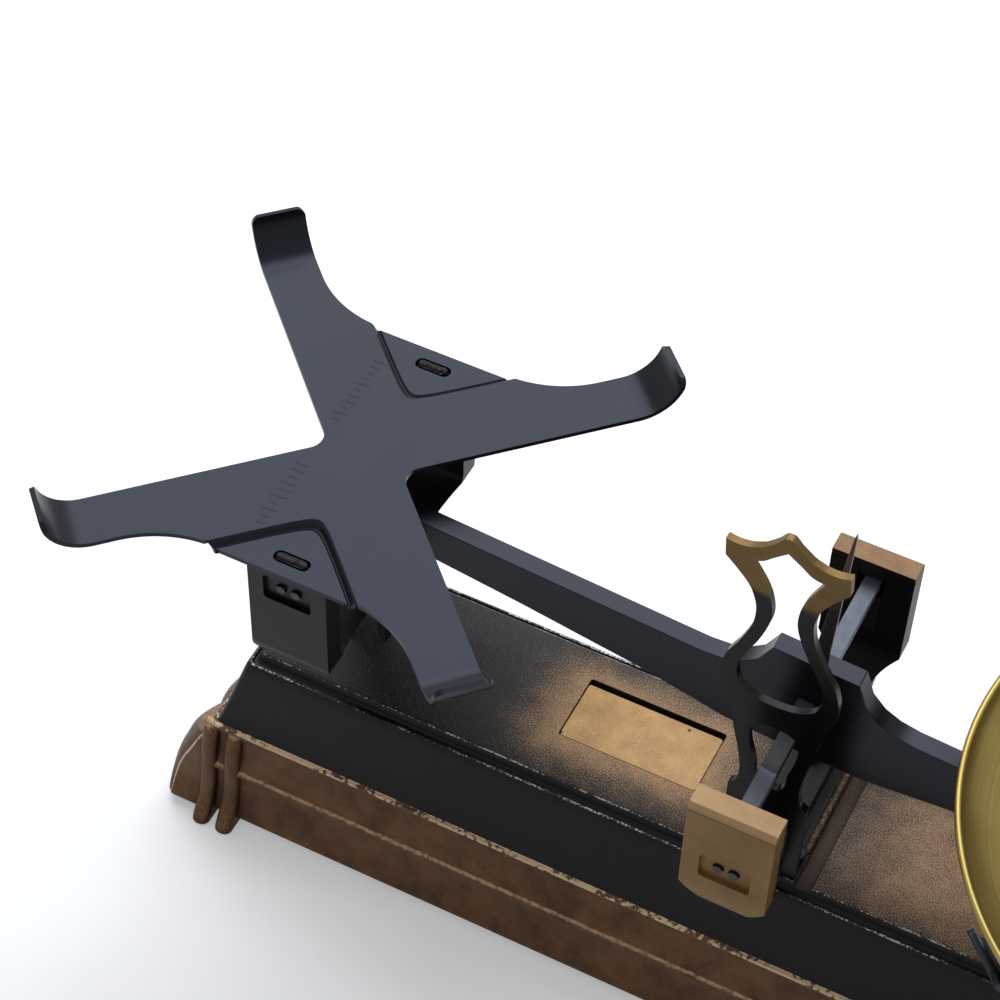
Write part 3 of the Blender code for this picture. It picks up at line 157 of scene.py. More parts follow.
# Hollow below the deck: height, distance out.
HOLLOW_LEVELS = ((DECK_HEIGHT - DECK_THICKNESS, 0.0), (0.0525, 0.0145), (-OVERRUN, 0.0167))
CORNER_RADIUS = 0.0022
LOBES = 5
LOBE_STEPS = 16
MIDDLE_LOBE_SHARE = 0.35
END_INSET = 0.001
END_BACK = 0.22952
END_CORNER = 0.0009
# Outline of the wall from the deck's edge down to the ledge: distance out, height.
WALL_OUTLINE = (
    (-0.0014, 0.0900), (-0.0007, 0.08985), (-0.0002, 0.0895), (0.0001, 0.0889), (0.0007, 0.0870),
    (0.0010, 0.0860), (0.0016, 0.0855), (0.0026, 0.0854), (0.0028, 0.0857), (0.0032, 0.0861),
    (0.0037, 0.0862), (0.0042, 0.0860), (0.0046, 0.0855), (0.0050, 0.0848), (0.0060, 0.0815),
    (0.0100, 0.0676), (0.0140, 0.0540), (0.0146, 0.0529), (0.0152, 0.0527), (0.0162, 0.0526),
    (0.0167, 0.0521), (0.0168, 0.0513), (0.0165, 0.0506),
)
# Outline of the long sides of the skirt: height, distance out.
SKIRT_OUTLINE = (
    (0.0498, 0.0158), (0.0484, 0.0155), (0.0460, 0.0155), (0.0430, 0.0160), (0.0395, 0.0167),
    (0.0365, 0.0174), (0.0340, 0.0183), (0.0322, 0.0190), (0.0314, 0.0194), (0.0309, 0.0201),
    (0.0303, 0.0207), (0.0295, 0.0209), (0.0286, 0.0205), (0.0275, 0.0197), (0.0260, 0.0193),
    (0.0230, 0.0194), (0.0200, 0.0199), (0.0150, 0.0208), (0.0100, 0.0221), (0.0062, 0.0234),
    (0.0046, 0.0241), (0.0040, 0.0236),
)
# Outline of the scalloped ends: height, reach, half width, depth of the lobes, dip of the middle.
END_OUTLINE = (
    (0.0500, 0.2314, 0.04815, 0.0006, 0.0000), (0.0482, 0.2327, 0.0486, 0.0022, 0.0000),
    (0.0460, 0.2344, 0.0491, 0.0038, 0.0015), (0.0429, 0.2366, 0.0496, 0.0055, 0.0035),
    (0.0379, 0.2393, 0.0505, 0.0065, 0.0060), (0.0313, 0.2423, 0.0515, 0.0062, 0.0087),
    (0.0263, 0.2448, 0.0520, 0.0058, 0.0110), (0.0217, 0.2465, 0.0528, 0.0055, 0.0125),
    (0.0172, 0.2478, 0.0536, 0.0052, 0.0137), (0.0101, 0.2490, 0.0557, 0.0049, 0.0148),
    (0.0056, 0.2493, 0.0578, 0.0045, 0.0150), (0.0042, 0.2489, 0.0583, 0.0042, 0.0150),
    (0.0040, 0.2482, 0.0580, 0.0040, 0.0150),
)
SKIRT_STEPS = 3
RIB_WIDTH = 0.0073
RIB_PLACES = (0.2216, 0.2324)
RIB_CROWN = 0.0012
# Outline of a rib's face: height, distance out from the middle of the base.
RIB_OUTLINE = (
    (0.0502, 0.0455), (0.0496, 0.0470), (0.0486, 0.0481), (0.0472, 0.0489), (0.0452, 0.0497),
    (0.0415, 0.0508), (0.0368, 0.0518),
    (0.0305, 0.0527), (0.0242, 0.0535), (0.0180, 0.0546), (0.0126, 0.0563), (0.0085, 0.0584),
    (0.0050, 0.0606), (0.0022, 0.0624), (0.0006, 0.0630), (0.0000, 0.0624),
)
RIB_ROOT = 0.044
RIB_HEEL = 0.050
CROSS_RIB_WIDTH = 0.012
CROSS_RIB_HEIGHT = 0.010
CROSS_RIB_OVERREACH = 0.0125
RIDGE_LEFT = 0.0130
RIDGE_WIDTH = 0.0030
RIDGE_HEIGHT = 0.0012
RIDGE_FRONT = -0.0177
GROOVE_WIDTH = 0.0070
GROOVE_DEPTH = 0.0025
GROOVE_ROUND = 0.0008
GROOVE_OVERREACH = 0.0018
SLOT_LENGTH = 0.020
SLOT_WIDTH = 0.017
END_KNIFE_REACH = 0.18455
COVER_LEFT = -0.0932
COVER_RIGHT = -0.0346
COVER_FRONT = -0.0116
COVER_REAR = 0.0162
COVER_REAR_SLACK = 0.0026
COVER_LEDGE = 0.004
COVER_CORNER = 0.0012
REBATE_DEPTH = 0.0033
BOLT_PLACE = 0.021
BOLT_HOLE = 0.0033
CROWN_SCREW_PLACE = (0.01265, -0.022725)
CROWN_SCREW_HOLE = 0.002


def curve_through(points, steps):
    """A smooth line through points of any number of values, as a Catmull-Rom curve."""
    line = []
    for i in range(len(points) - 1):
        a = points[max(i - 1, 0)]
        b = points[i]
        c = points[i + 1]
        d = points[min(i + 2, len(points) - 1)]
        for step in range(steps):
            t = step / steps
            line.append(tuple(
                0.5 * (2 * q + (r - p) * t + (2 * p - 5 * q + 4 * r - s) * t * t
                       + (3 * q - p - 3 * r + s) * t ** 3)
                for p, q, r, s in zip(a, b, c, d)
            ))
    line.append(tuple(points[-1]))
    return line


def add_loft(shape, rings, material=0, closed=True):
    made = [[shape.verts.new(point) for point in ring] for ring in rings]
    for lower, upper in zip(made, made[1:]):
        for i in range(len(lower) if closed else len(lower) - 1):
            j = (i + 1) % len(lower)
            shape.faces.new((lower[i], lower[j], upper[j], upper[i])).material_index = material
    return made


def add_prism(shape, outline, axis, start, end, material=0):
    rings = []
    for along in (start, end):
        if axis == "X":
            rings.append([(along, a, b) for a, b in outline])
        elif axis == "Y":
            rings.append([(a, along, b) for a, b in outline])
        else:
            rings.append([(a, b, along) for a, b in outline])
    made = add_loft(shape, rings, material)
    for ring in made:
        shape.faces.new(ring).material_index = material


def rounded_box(left, right, low, high, radius, steps=4):
    points = []
    for centre, start in (
        ((right - radius, high - radius), 0), ((left + radius, high - radius), 90),
        ((left + radius, low + radius), 180), ((right - radius, low + radius), 270),
    ):
        for i in range(steps + 1):
            angle = math.radians(start + 90 * i / steps)
            points.append((centre[0] + radius * math.cos(angle), centre[1] + radius * math.sin(angle)))
    return points


def circle(centre_a, centre_b, radius, sides=32):
    points = []
    for i in range(sides):
        angle = math.tau * i / sides
        points.append((centre_a + radius * math.cos(angle), centre_b + radius * math.sin(angle)))
    return points


def make_piece(name, shape, materials=()):
    bmesh.ops.recalc_face_normals(shape, faces=shape.faces)
    piece = bpy.data.objects.new(name, bpy.data.meshes.new(name))
    shape.to_mesh(piece.data)
    shape.free()
    for material in materials:
        piece.data.materials.append(material)
    scene.collection.objects.link(piece)
    return piece


def combine(piece, shape, operation, materials=()):
    """Joins or cuts a piece with another closed shape, which is used up."""
    tool = make_piece(piece.name + "_tool", shape, materials or piece.data.materials[:])
    change = piece.modifiers.new("change", "BOOLEAN")
    change.operation = operation
    change.solver = "EXACT"
    change.object = tool
    settle(piece)
    bpy.data.objects.remove(tool)


def settle(piece):
    """Turns a piece and its modifiers into one plain mesh."""
    bpy.context.view_layer.update()
    whole = piece.evaluated_get(bpy.context.evaluated_depsgraph_get())
    mesh = bpy.data.meshes.new_from_object(whole)
    piece.modifiers.clear()
    piece.data = mesh


def round_edges(piece, radius, segments=3, angle=32):
    """Rounds the sharp edges of a finished shape, as filing and paint do, and shades it smooth."""
    shape = bmesh.new()
    shape.from_mesh(piece.data)
    bmesh.ops.remove_doubles(shape, verts=shape.verts, dist=GAP / 30)
    bmesh.ops.dissolve_limit(
        shape, angle_limit=math.radians(0.5), verts=shape.verts, edges=shape.edges, delimit={"MATERIAL"})
    shape.to_mesh(piece.data)
    shape.free()
    bevel = piece.modifiers.new("rounded", "BEVEL")
    bevel.width = radius
    bevel.segments = segments
    bevel.limit_method = "ANGLE"
    bevel.angle_limit = math.radians(angle)
    bevel.miter_outer = "MITER_ARC"
    settle(piece)
    shade_flats(piece)


def shade_flats(piece):
    """Smooth shading that leaves the broad faces flat, so the light turns only on the rounded edges."""
    piece.data.shade_smooth()
    flats = piece.modifiers.new("flats", "WEIGHTED_NORMAL")
    flats.mode = "FACE_AREA"
    flats.weight = 100
    flats.keep_sharp = True
    settle(piece)


def new_material(name):
    """An empty material, its node tree, and the place on the piece in metres."""
    material = bpy.data.materials.new(name)
    material.use_nodes = True
    tree = material.node_tree
    tree.nodes.clear()
    return material, tree, add_node(tree, "ShaderNodeTexCoord").outputs["Object"]


def cast_bump(tree, place, coarse, fine, coarse_share, strength, distance):
    """Bump of a sand casting under paint: slow waves with fine grit on them."""
    waves = add_node(tree, "ShaderNodeTexNoise", {"Vector": place, "Scale": coarse, "Detail": 3.0})
    grit = add_node(tree, "ShaderNodeTexNoise", {"Vector": place, "Scale": fine, "Detail": 2.0})
    height = add_node(tree, "ShaderNodeMix", {
        0: coarse_share, 2: grit.outputs["Fac"], 3: waves.outputs["Fac"]}, data_type="FLOAT")
    return add_node(tree, "ShaderNodeBump", {
        "Height": height.outputs[0], "Strength": strength, "Distance": distance}).outputs[0]


def mottled_finish(name, cloud, shades, gloss, grain, settings):
    """Enamel or steel whose shade and gloss drift in slow clouds over a fine grain.

    The cloud is a scale and a detail, the grain is what cast_bump takes, and the settings are the
    shader's own values.
    """
    material, tree, place = new_material(name)
    drift = add_node(tree, "ShaderNodeTexNoise", {
        "Vector": place, "Scale": cloud[0], "Detail": cloud[1]})
    shade = add_node(tree, "ShaderNodeValToRGB", {"Fac": drift.outputs["Fac"]})
    for element, code in zip(shade.color_ramp.elements, shades):
        element.color = srgb(code)
    rough = add_node(tree, "ShaderNodeMapRange", {
        "Value": drift.outputs["Fac"], "To Min": gloss[0], "To Max": gloss[1]})
    shader = add_node(tree, "ShaderNodeBsdfPrincipled", {
        "Base Color": shade.outputs["Color"], "Roughness": rough.outputs[0],
        "Normal": cast_bump(tree, place, *grain), **settings})
    add_node(tree, "ShaderNodeOutputMaterial", {"Surface": shader.outputs[0]})
    return material


# Black baking enamel over cast iron: deep black, half glossy, a little uneven like orange peel.
cast_enamel = mottled_finish(
    "black_enamel_on_cast_iron", (55.0, 4.0), ("#08080A", "#151519"), (0.30, 0.44),
    (160.0, 1400.0, 0.7, 0.25, 0.0006), {"Specular IOR Level": 0.17, "Specular Tint": srgb("#F8F4F2")})

# Gold bronze paint brushed over the skirt: dull gold, with painted shade that browns it in the hollows and a
# painted highlight on faces that look up.
skirt_gold, tree, place = new_material("gold_bronze_paint_on_skirt")
# Painted shade: ambient occlusion darkens the paint towards deep brown in hollows and creases, under a cloud
# of mottle.
painted_hollow_shade = add_node(tree, "ShaderNodeAmbientOcclusion", {"Distance": 0.010}, samples=8)
cloud = add_node(tree, "ShaderNodeTexNoise", {
    "Vector": place, "Scale": 70.0, "Detail": 6.0, "Roughness": 0.65})
hollow_shade_and_mottle = add_node(tree, "ShaderNodeMath", {
    0: painted_hollow_shade.outputs["AO"], 1: cloud.outputs["Fac"]}, operation="MULTIPLY")
shade = add_node(tree, "ShaderNodeValToRGB", {"Fac": hollow_shade_and_mottle.outputs[0]})
ramp = shade.color_ramp
ramp.elements[0].position = 0.08
ramp.elements[0].color = srgb("#301A0F")
ramp.elements[1].position = 0.60
ramp.elements[1].color = srgb("#68492B")
middle = ramp.elements.new(0.34)
middle.color = srgb("#482F1A")
# Painted highlight: faces that look up are lightened towards pale gold, broken up by fine specks.
facing = add_node(tree, "ShaderNodeNewGeometry")
tilt = add_node(tree, "ShaderNodeSeparateXYZ", {"Vector": facing.outputs["Normal"]})
specks = add_node(tree, "ShaderNodeTexNoise", {"Vector": place, "Scale": 600.0, "Detail": 3.0})
rough_tilt = add_node(tree, "ShaderNodeMath", {0: specks.outputs["Fac"], 1: 0.5}, operation="SUBTRACT")
rough_tilt = add_node(tree, "ShaderNodeMath", {
    0: rough_tilt.outputs[0], 1: tilt.outputs["Z"]}, operation="ADD")
painted_top_highlight = add_node(tree, "ShaderNodeMapRange", {
    "Value": rough_tilt.outputs[0], "From Min": 0.55, "From Max": 0.90})
shade = add_node(tree, "ShaderNodeMix", {
    0: painted_top_highlight.outputs[0], 6: shade.outputs["Color"], 7: srgb("#A5886A")}, data_type="RGBA")
bump = cast_bump(tree, place, 260.0, 1500.0, 0.6, 0.45, 0.0008)
shader = add_node(tree, "ShaderNodeBsdfPrincipled", {
    "Base Color": shade.outputs[2], "Metallic": 0.45, "Roughness": 0.46, "Normal": bump,
    "Specular IOR Level": 0.3})
add_node(tree, "ShaderNodeOutputMaterial", {"Surface": shader.outputs[0]})

# Gold sprayed over the black deck: solid round the cover plate and on the right-hand panel,
# and thinning into single grains towards the ends and edges. Its grains are near half a millimetre.
SPRAY_GRAIN = 0.00045
SPRAY_FADE = 0.032
PANEL_SPRAY = (0.012, 0.055)
PANEL_SPRAY_END = (0.110, 0.180)
SPRAY_EDGE = (0.020, 0.034)
GROOVE_BLUR = 0.0005
cover_middle = ((COVER_LEFT + COVER_RIGHT) / 2, (COVER_FRONT + COVER_REAR) / 2)
cover_half = ((COVER_RIGHT - COVER_LEFT) / 2, (COVER_REAR - COVER_FRONT) / 2)
groove_left = RIDGE_LEFT + RIDGE_WIDTH
deck_spray, tree, place = new_material("gold_spray_on_black_deck")
axes = add_node(tree, "ShaderNodeSeparateXYZ", {"Vector": place})
spot = add_node(tree, "ShaderNodeMapping", {
    "Vector": place, "Location": (-cover_middle[0], -cover_middle[1], 0.0)})
spot = add_node(tree, "ShaderNodeVectorMath", {0: spot.outputs[0]}, operation="ABSOLUTE")
spot = add_node(tree, "ShaderNodeVectorMath", {
    0: spot.outputs[0], 1: (*cover_half, 1.0)}, operation="SUBTRACT")
spot = add_node(tree, "ShaderNodeVectorMath", {
    0: spot.outputs[0], 1: (0.0, 0.0, 0.0)}, operation="MAXIMUM")
reach = add_node(tree, "ShaderNodeVectorMath", {0: spot.outputs[0]}, operation="LENGTH")
left_gold = add_node(tree, "ShaderNodeMapRange", {
    "Value": reach.outputs["Value"], "From Min": 0.0, "From Max": SPRAY_FADE, "To Min": 1.0, "To Max": 0.0})
right_start = add_node(tree, "ShaderNodeMapRange", {
    "Value": axes.outputs["X"], "From Min": PANEL_SPRAY[0], "From Max": PANEL_SPRAY[1],
    "To Min": 0.42, "To Max": 0.80})
right_side = add_node(tree, "ShaderNodeMath", {
    0: axes.outputs["X"], 1: RIDGE_LEFT}, operation="GREATER_THAN")
right_end = add_node(tree, "ShaderNodeMapRange", {
    "Value": axes.outputs["X"], "From Min": PANEL_SPRAY_END[0], "From Max": PANEL_SPRAY_END[1],
    "To Min": 1.0, "To Max": 0.0})
right_gold = add_node(tree, "ShaderNodeMath", {
    0: right_start.outputs[0], 1: right_end.outputs[0]}, operation="MULTIPLY")
right_gold = add_node(tree, "ShaderNodeMath", {
    0: right_gold.outputs[0], 1: right_side.outputs[0]}, operation="MULTIPLY")
from_middle = add_node(tree, "ShaderNodeMath", {0: axes.outputs["Y"]}, operation="ABSOLUTE")
inside = add_node(tree, "ShaderNodeMapRange", {
    "Value": from_middle.outputs[0], "From Min": SPRAY_EDGE[0], "From Max": SPRAY_EDGE[1],
    "To Min": 1.0, "To Max": 0.75})
gold = add_node(tree, "ShaderNodeMath", {
    0: left_gold.outputs[0], 1: right_gold.outputs[0]}, operation="MAXIMUM")
gold = add_node(tree, "ShaderNodeMath", {0: gold.outputs[0], 1: inside.outputs[0]}, operation="MULTIPLY")
grain = add_node(tree, "ShaderNodeTexNoise", {"Vector": place, "Scale": 1 / SPRAY_GRAIN, "Detail": 1.0})
drift = add_node(tree, "ShaderNodeTexNoise", {"Vector": place, "Scale": 120.0, "Detail": 3.0})
speck = add_node(tree, "ShaderNodeMath", {0: grain.outputs["Fac"], 1: 0.5}, operation="SUBTRACT")
speck = add_node(tree, "ShaderNodeMath", {0: speck.outputs[0], 1: 2.6}, operation="MULTIPLY")
speck = add_node(tree, "ShaderNodeMath", {0: speck.outputs[0], 1: gold.outputs[0]}, operation="ADD")
cloudy = add_node(tree, "ShaderNodeMapRange", {
    "Value": drift.outputs["Fac"], "From Min": 0.0, "From Max": 1.0, "To Min": -0.25, "To Max": 0.25})
speck = add_node(tree, "ShaderNodeMath", {0: cloudy.outputs[0], 1: speck.outputs[0]}, operation="ADD")
cover = add_node(tree, "ShaderNodeMapRange", {
    "Value": speck.outputs[0], "From Min": 0.50, "From Max": 0.90})
colour = add_node(tree, "ShaderNodeMix", {
    0: cover.outputs[0], 6: srgb("#111114"), 7: srgb("#A08060")}, data_type="RGBA")
# Painted shade: below the deck's level in the groove the gold turns dark brown, as it looks in shade.
low = add_node(tree, "ShaderNodeMapRange", {
    "Value": axes.outputs["Z"], "From Min": DECK_HEIGHT - GROOVE_BLUR * 4,
    "From Max": DECK_HEIGHT - GROOVE_BLUR, "To Min": 1.0, "To Max": 0.0})
in_groove = add_node(tree, "ShaderNodeMapRange", {
    "Value": axes.outputs["X"], "From Min": groove_left - GROOVE_BLUR, "From Max": groove_left})
low = add_node(tree, "ShaderNodeMath", {
    0: low.outputs[0], 1: in_groove.outputs[0]}, operation="MULTIPLY")
colour = add_node(tree, "ShaderNodeMix", {
    0: low.outputs[0], 6: colour.outputs[2], 7: srgb("#3A2414")}, data_type="RGBA")
gloss = add_node(tree, "ShaderNodeMapRange", {"Value": cover.outputs[0], "To Min": 0.34, "To Max": 0.52})
metal = add_node(tree, "ShaderNodeMath", {0: cover.outputs[0], 1: 0.35}, operation="MULTIPLY")
grit = add_node(tree, "ShaderNodeBump", {
    "Height": grain.outputs["Fac"], "Strength": 0.60, "Distance": SPRAY_GRAIN})
shader = add_node(tree, "ShaderNodeBsdfPrincipled", {
    "Base Color": colour.outputs[2], "Metallic": metal.outputs[0], "Roughness": gloss.outputs[0],
    "Normal": grit.outputs[0], "Specular IOR Level": 0.24})
add_node(tree, "ShaderNodeOutputMaterial", {"Surface": shader.outputs[0]})

# Inside of the casting: thin black wash over raw iron, matt and uneven.
inner_wash, tree, place = new_material("black_wash_on_raw_iron")
cloud = add_node(tree, "ShaderNodeTexNoise", {"Vector": place, "Scale": 90.0, "Detail": 6.0})
shade = add_node(tree, "ShaderNodeValToRGB", {"Fac": cloud.outputs["Fac"]})
shade.color_ramp.elements[0].color = srgb("#141211")
shade.color_ramp.elements[1].color = srgb("#2C2622")
bump = cast_bump(tree, place, 300.0, 1200.0, 0.5, 0.6, 0.001)
shader = add_node(tree, "ShaderNodeBsdfPrincipled", {
    "Base Color": shade.outputs["Color"], "Roughness": 0.8, "Normal": bump, "Specular IOR Level": 0.2})
add_node(tree, "ShaderNodeOutputMaterial", {"Surface": shader.outputs[0]})

# Enamel on the bead and the deck's edge: handling has worn it through to specks of bright iron, which also
# serve as a painted highlight along these edges.
worn_enamel_painted_highlight, tree, place = new_material("black_enamel_worn_with_painted_highlight")
specks = add_node(tree, "ShaderNodeTexNoise", {"Vector": place, "Scale": 1100.0, "Detail": 2.0})
patches = add_node(tree, "ShaderNodeTexNoise", {"Vector": place, "Scale": 60.0, "Detail": 2.0})
both = add_node(tree, "ShaderNodeMath", {
    0: specks.outputs["Fac"], 1: patches.outputs["Fac"]}, operation="ADD")
bare = add_node(tree, "ShaderNodeMapRange", {
    "Value": both.outputs[0], "From Min": 1.02, "From Max": 1.14})
colour = add_node(tree, "ShaderNodeMix", {
    0: bare.outputs[0], 6: srgb("#121216"), 7: srgb("#A29E9A")}, data_type="RGBA")
metal = add_node(tree, "ShaderNodeMath", {0: bare.outputs[0], 1: 0.6}, operation="MULTIPLY")
grit = add_node(tree, "ShaderNodeBump", {
    "Height": specks.outputs["Fac"], "Strength": 0.4, "Distance": SPRAY_GRAIN})
shader = add_node(tree, "ShaderNodeBsdfPrincipled", {
    "Base Color": colour.outputs[2], "Metallic": metal.outputs[0], "Roughness": 0.36,
    "Normal": grit.outputs[0], "Specular IOR Level": 0.3})
add_node(tree, "ShaderNodeOutputMaterial", {"Surface": shader.outputs[0]})

# Gold paint on the lip: rubbed thin, so pale iron shows in a broken line, which also serves as a painted
# highlight along the edge.
worn_gold_painted_highlight, tree, place = new_material("gold_paint_worn_with_painted_highlight")
specks = add_node(tree, "ShaderNodeTexNoise", {"Vector": place, "Scale": 500.0, "Detail": 3.0})
patches = add_node(tree, "ShaderNodeTexNoise", {"Vector": place, "Scale": 50.0, "Detail": 3.0})
both = add_node(tree, "ShaderNodeMath", {
    0: specks.outputs["Fac"], 1: patches.outputs["Fac"]}, operation="ADD")
shade = add_node(tree, "ShaderNodeValToRGB", {"Fac": both.outputs[0]})
ramp = shade.color_ramp
ramp.elements[0].position = 0.90
ramp.elements[0].color = srgb("#54361F")
ramp.elements[1].position = 1.0
ramp.elements[1].color = srgb("#C9AE8C")
grit = add_node(tree, "ShaderNodeBump", {
    "Height": specks.outputs["Fac"], "Strength": 0.5, "Distance": SPRAY_GRAIN})
shader = add_node(tree, "ShaderNodeBsdfPrincipled", {
    "Base Color": shade.outputs["Color"], "Metallic": 0.4, "Roughness": 0.42, "Normal": grit.outputs[0]})
add_node(tree, "ShaderNodeOutputMaterial", {"Surface": shader.outputs[0]})

DECK, WALL, SKIRT, INSIDE, WORN_ENAMEL_PAINTED_HIGHLIGHT, WORN_GOLD_PAINTED_HIGHLIGHT = range(6)
base_materials = (deck_spray, cast_enamel, skirt_gold, inner_wash, worn_enamel_painted_highlight, worn_gold_painted_highlight)


def plan_ring(end_out, side_out, height):
    a = DECK_HALF_LENGTH + end_out
    b = DECK_HALF_WIDTH + side_out
    return [(p, q, height) for p, q in rounded_box(-a, a, -b, b, CORNER_RADIUS)]


shape = bmesh.new()
levels = [plan_ring(out, out, height) for out, height in WALL_OUTLINE]
# The deck's edge and the bead's top take the worn enamel, and the lip the worn gold; both are partly wear
# and partly painted highlight.
zones = (
    (0, 1, DECK), (1, 2, WORN_ENAMEL_PAINTED_HIGHLIGHT), (2, 9, WALL), (9, 11, WORN_ENAMEL_PAINTED_HIGHLIGHT), (11, 17, WALL),
    (17, 20, WORN_GOLD_PAINTED_HIGHLIGHT),
)
for first, last, zone in zones:
    made = add_loft(shape, levels[first:last + 1], zone)
    if first == 0:
        shape.faces.new(made[0]).material_index = DECK
levels = levels[20:]
for height, out in curve_through(SKIRT_OUTLINE, SKIRT_STEPS):
    levels.append(plan_ring(WALL_OUTLINE[20][0] - END_INSET, out, height))
made = add_loft(shape, levels, SKIRT)
shape.faces.new(made[-1]).material_index = SKIRT
bmesh.ops.remove_doubles(shape, verts=shape.verts, dist=GAP / 30)
base = make_piece("base_casting_painted", shape, base_materials)

for end in (-1, 1):
    rings = []
    for height, reach, half_width, lobe, dip in curve_through(END_OUTLINE, SKIRT_STEPS):
        ring = [(end * END_BACK, -half_width, height)]
        for i in range(LOBES * LOBE_STEPS + 1):
            across = 2 * i / (LOBES * LOBE_STEPS) - 1
            edge = abs(across)
            swell = lobe * (MIDDLE_LOBE_SHARE + (1 - MIDDLE_LOBE_SHARE) * edge)
            swell *= abs(math.sin(math.pi * i / LOBE_STEPS)) ** 0.8
            swell -= max(dip, 0) * (1 - edge) ** 1.5
            if edge == 1:
                side = math.copysign(1, across)
                corner = [
                    (reach - END_CORNER, side * half_width),
                    (reach - END_CORNER * 0.4, side * (half_width - END_CORNER * 0.15)),
                    (reach, side * (half_width - END_CORNER)),
                ]
                ring += [(end * a, b, height) for a, b in (corner if side < 0 else reversed(corner))]
            else:
                ring.append((end * (reach + swell), across * half_width, height))
        ring.append((end * END_BACK, half_width, height))
        rings.append(ring)
    shape = bmesh.new()
    last = len(rings[0]) - 1
    # The ends' corner edges take the worn gold, whose pale line is partly wear and partly painted highlight.
    strips = (
        (0, 1, SKIRT), (1, 3, WORN_GOLD_PAINTED_HIGHLIGHT), (3, last - 3, SKIRT), (last - 3, last - 1, WORN_GOLD_PAINTED_HIGHLIGHT),
        (last - 1, last, SKIRT))
    for first, final, zone in strips:
        add_loft(shape, [ring[first:final + 1] for ring in rings], zone, closed=False)
    add_loft(shape, [[ring[last], ring[0]] for ring in rings], SKIRT, closed=False)
    for ring in (rings[0], rings[-1]):
        shape.faces.new([shape.verts.new(point) for point in ring]).material_index = SKIRT
    bmesh.ops.remove_doubles(shape, verts=shape.verts, dist=GAP / 300)
    combine(base, shape, "UNION")

shape = bmesh.new()
for place_x in RIB_PLACES:
    for end in (-1, 1):
        for side in (-1, 1):
            rings = []
            rows = curve_through(RIB_OUTLINE, 3)
            for height, out in rows:
                root = RIB_HEEL if height < 0.003 else RIB_ROOT
                ring = []
                for i in range(11):
                    u = i / 5 - 1
                    crown = RIB_CROWN * (1 - u * u) - RIB_CROWN * 0.9 * u ** 6
                    ring.append((end * place_x + u * RIB_WIDTH / 2, side * (out + crown), max(height, 0)))
                ring.append((end * place_x + RIB_WIDTH / 2, side * root, max(height, 0)))
                ring.append((end * place_x - RIB_WIDTH / 2, side * root, max(height, 0)))
                rings.append(ring)
            made = add_loft(shape, rings, SKIRT)
            shape.faces.new(made[0]).material_index = SKIRT
            shape.faces.new(made[-1]).material_index = SKIRT
combine(base, shape, "UNION")

shape = bmesh.new()
rings = []
for height, out in HOLLOW_LEVELS:
    a = DECK_HALF_LENGTH + out - WALL_THICKNESS
    b = DECK_HALF_WIDTH + out - WALL_THICKNESS
    rings.append([(p, q, height) for p, q in rounded_box(-a, a, -b, b, WALL_THICKNESS / 2)])
made = add_loft(shape, rings, INSIDE)
shape.faces.new(made[0]).material_index = INSIDE
shape.faces.new(made[-1]).material_index = INSIDE
combine(base, shape, "DIFFERENCE")

shape = bmesh.new()
half = CROSS_RIB_WIDTH / 2
reach = DECK_HALF_WIDTH + CROSS_RIB_OVERREACH
outline = rounded_box(-half, half, -reach, reach, 0.001)
add_prism(shape, outline, "Z", 0.0, CROSS_RIB_HEIGHT, INSIDE)
combine(base, shape, "UNION")

shape = bmesh.new()
slant = RIDGE_WIDTH / 5
right = RIDGE_LEFT + RIDGE_WIDTH
outline = [
    (RIDGE_LEFT, DECK_HEIGHT - RIDGE_HEIGHT), (RIDGE_LEFT, DECK_HEIGHT),
    (RIDGE_LEFT + slant * 0.4, DECK_HEIGHT + RIDGE_HEIGHT * 0.7),
    (RIDGE_LEFT + slant * 1.2, DECK_HEIGHT + RIDGE_HEIGHT),
    (right - slant * 1.2, DECK_HEIGHT + RIDGE_HEIGHT),
    (right - slant * 0.4, DECK_HEIGHT + RIDGE_HEIGHT * 0.7), (right, DECK_HEIGHT),
    (right, DECK_HEIGHT - RIDGE_HEIGHT),
]
add_prism(shape, outline, "Y", RIDGE_FRONT, DECK_HALF_WIDTH - RIDGE_HEIGHT, DECK)
combine(base, shape, "UNION")

shape = bmesh.new()
top = DECK_HEIGHT + OVERRUN
under = DECK_HEIGHT - DECK_THICKNESS - OVERRUN
groove = [
    (right, top), (right, DECK_HEIGHT - GROOVE_DEPTH * 0.7),
    (right + GROOVE_ROUND, DECK_HEIGHT - GROOVE_DEPTH),
    (right + GROOVE_WIDTH - GROOVE_ROUND, DECK_HEIGHT - GROOVE_DEPTH),
    (right + GROOVE_WIDTH, DECK_HEIGHT - GROOVE_DEPTH * 0.7), (right + GROOVE_WIDTH, top),
]
reach = DECK_HALF_WIDTH + GROOVE_OVERREACH
add_prism(shape, groove, "Y", -reach, reach, DECK)
for end in (-1, 1):
    middle = end * END_KNIFE_REACH
    outline = rounded_box(
        middle - SLOT_LENGTH / 2, middle + SLOT_LENGTH / 2, -SLOT_WIDTH / 2, SLOT_WIDTH / 2, 0.002)
    add_prism(shape, outline, "Z", under, top, INSIDE)
    add_prism(shape, circle(0.0, end * BOLT_PLACE, BOLT_HOLE), "Z", under, top, INSIDE)
    hole = circle(end * CROWN_SCREW_PLACE[0], CROWN_SCREW_PLACE[1], CROWN_SCREW_HOLE)
    add_prism(shape, hole, "Z", under, top, INSIDE)
combine(base, shape, "DIFFERENCE")

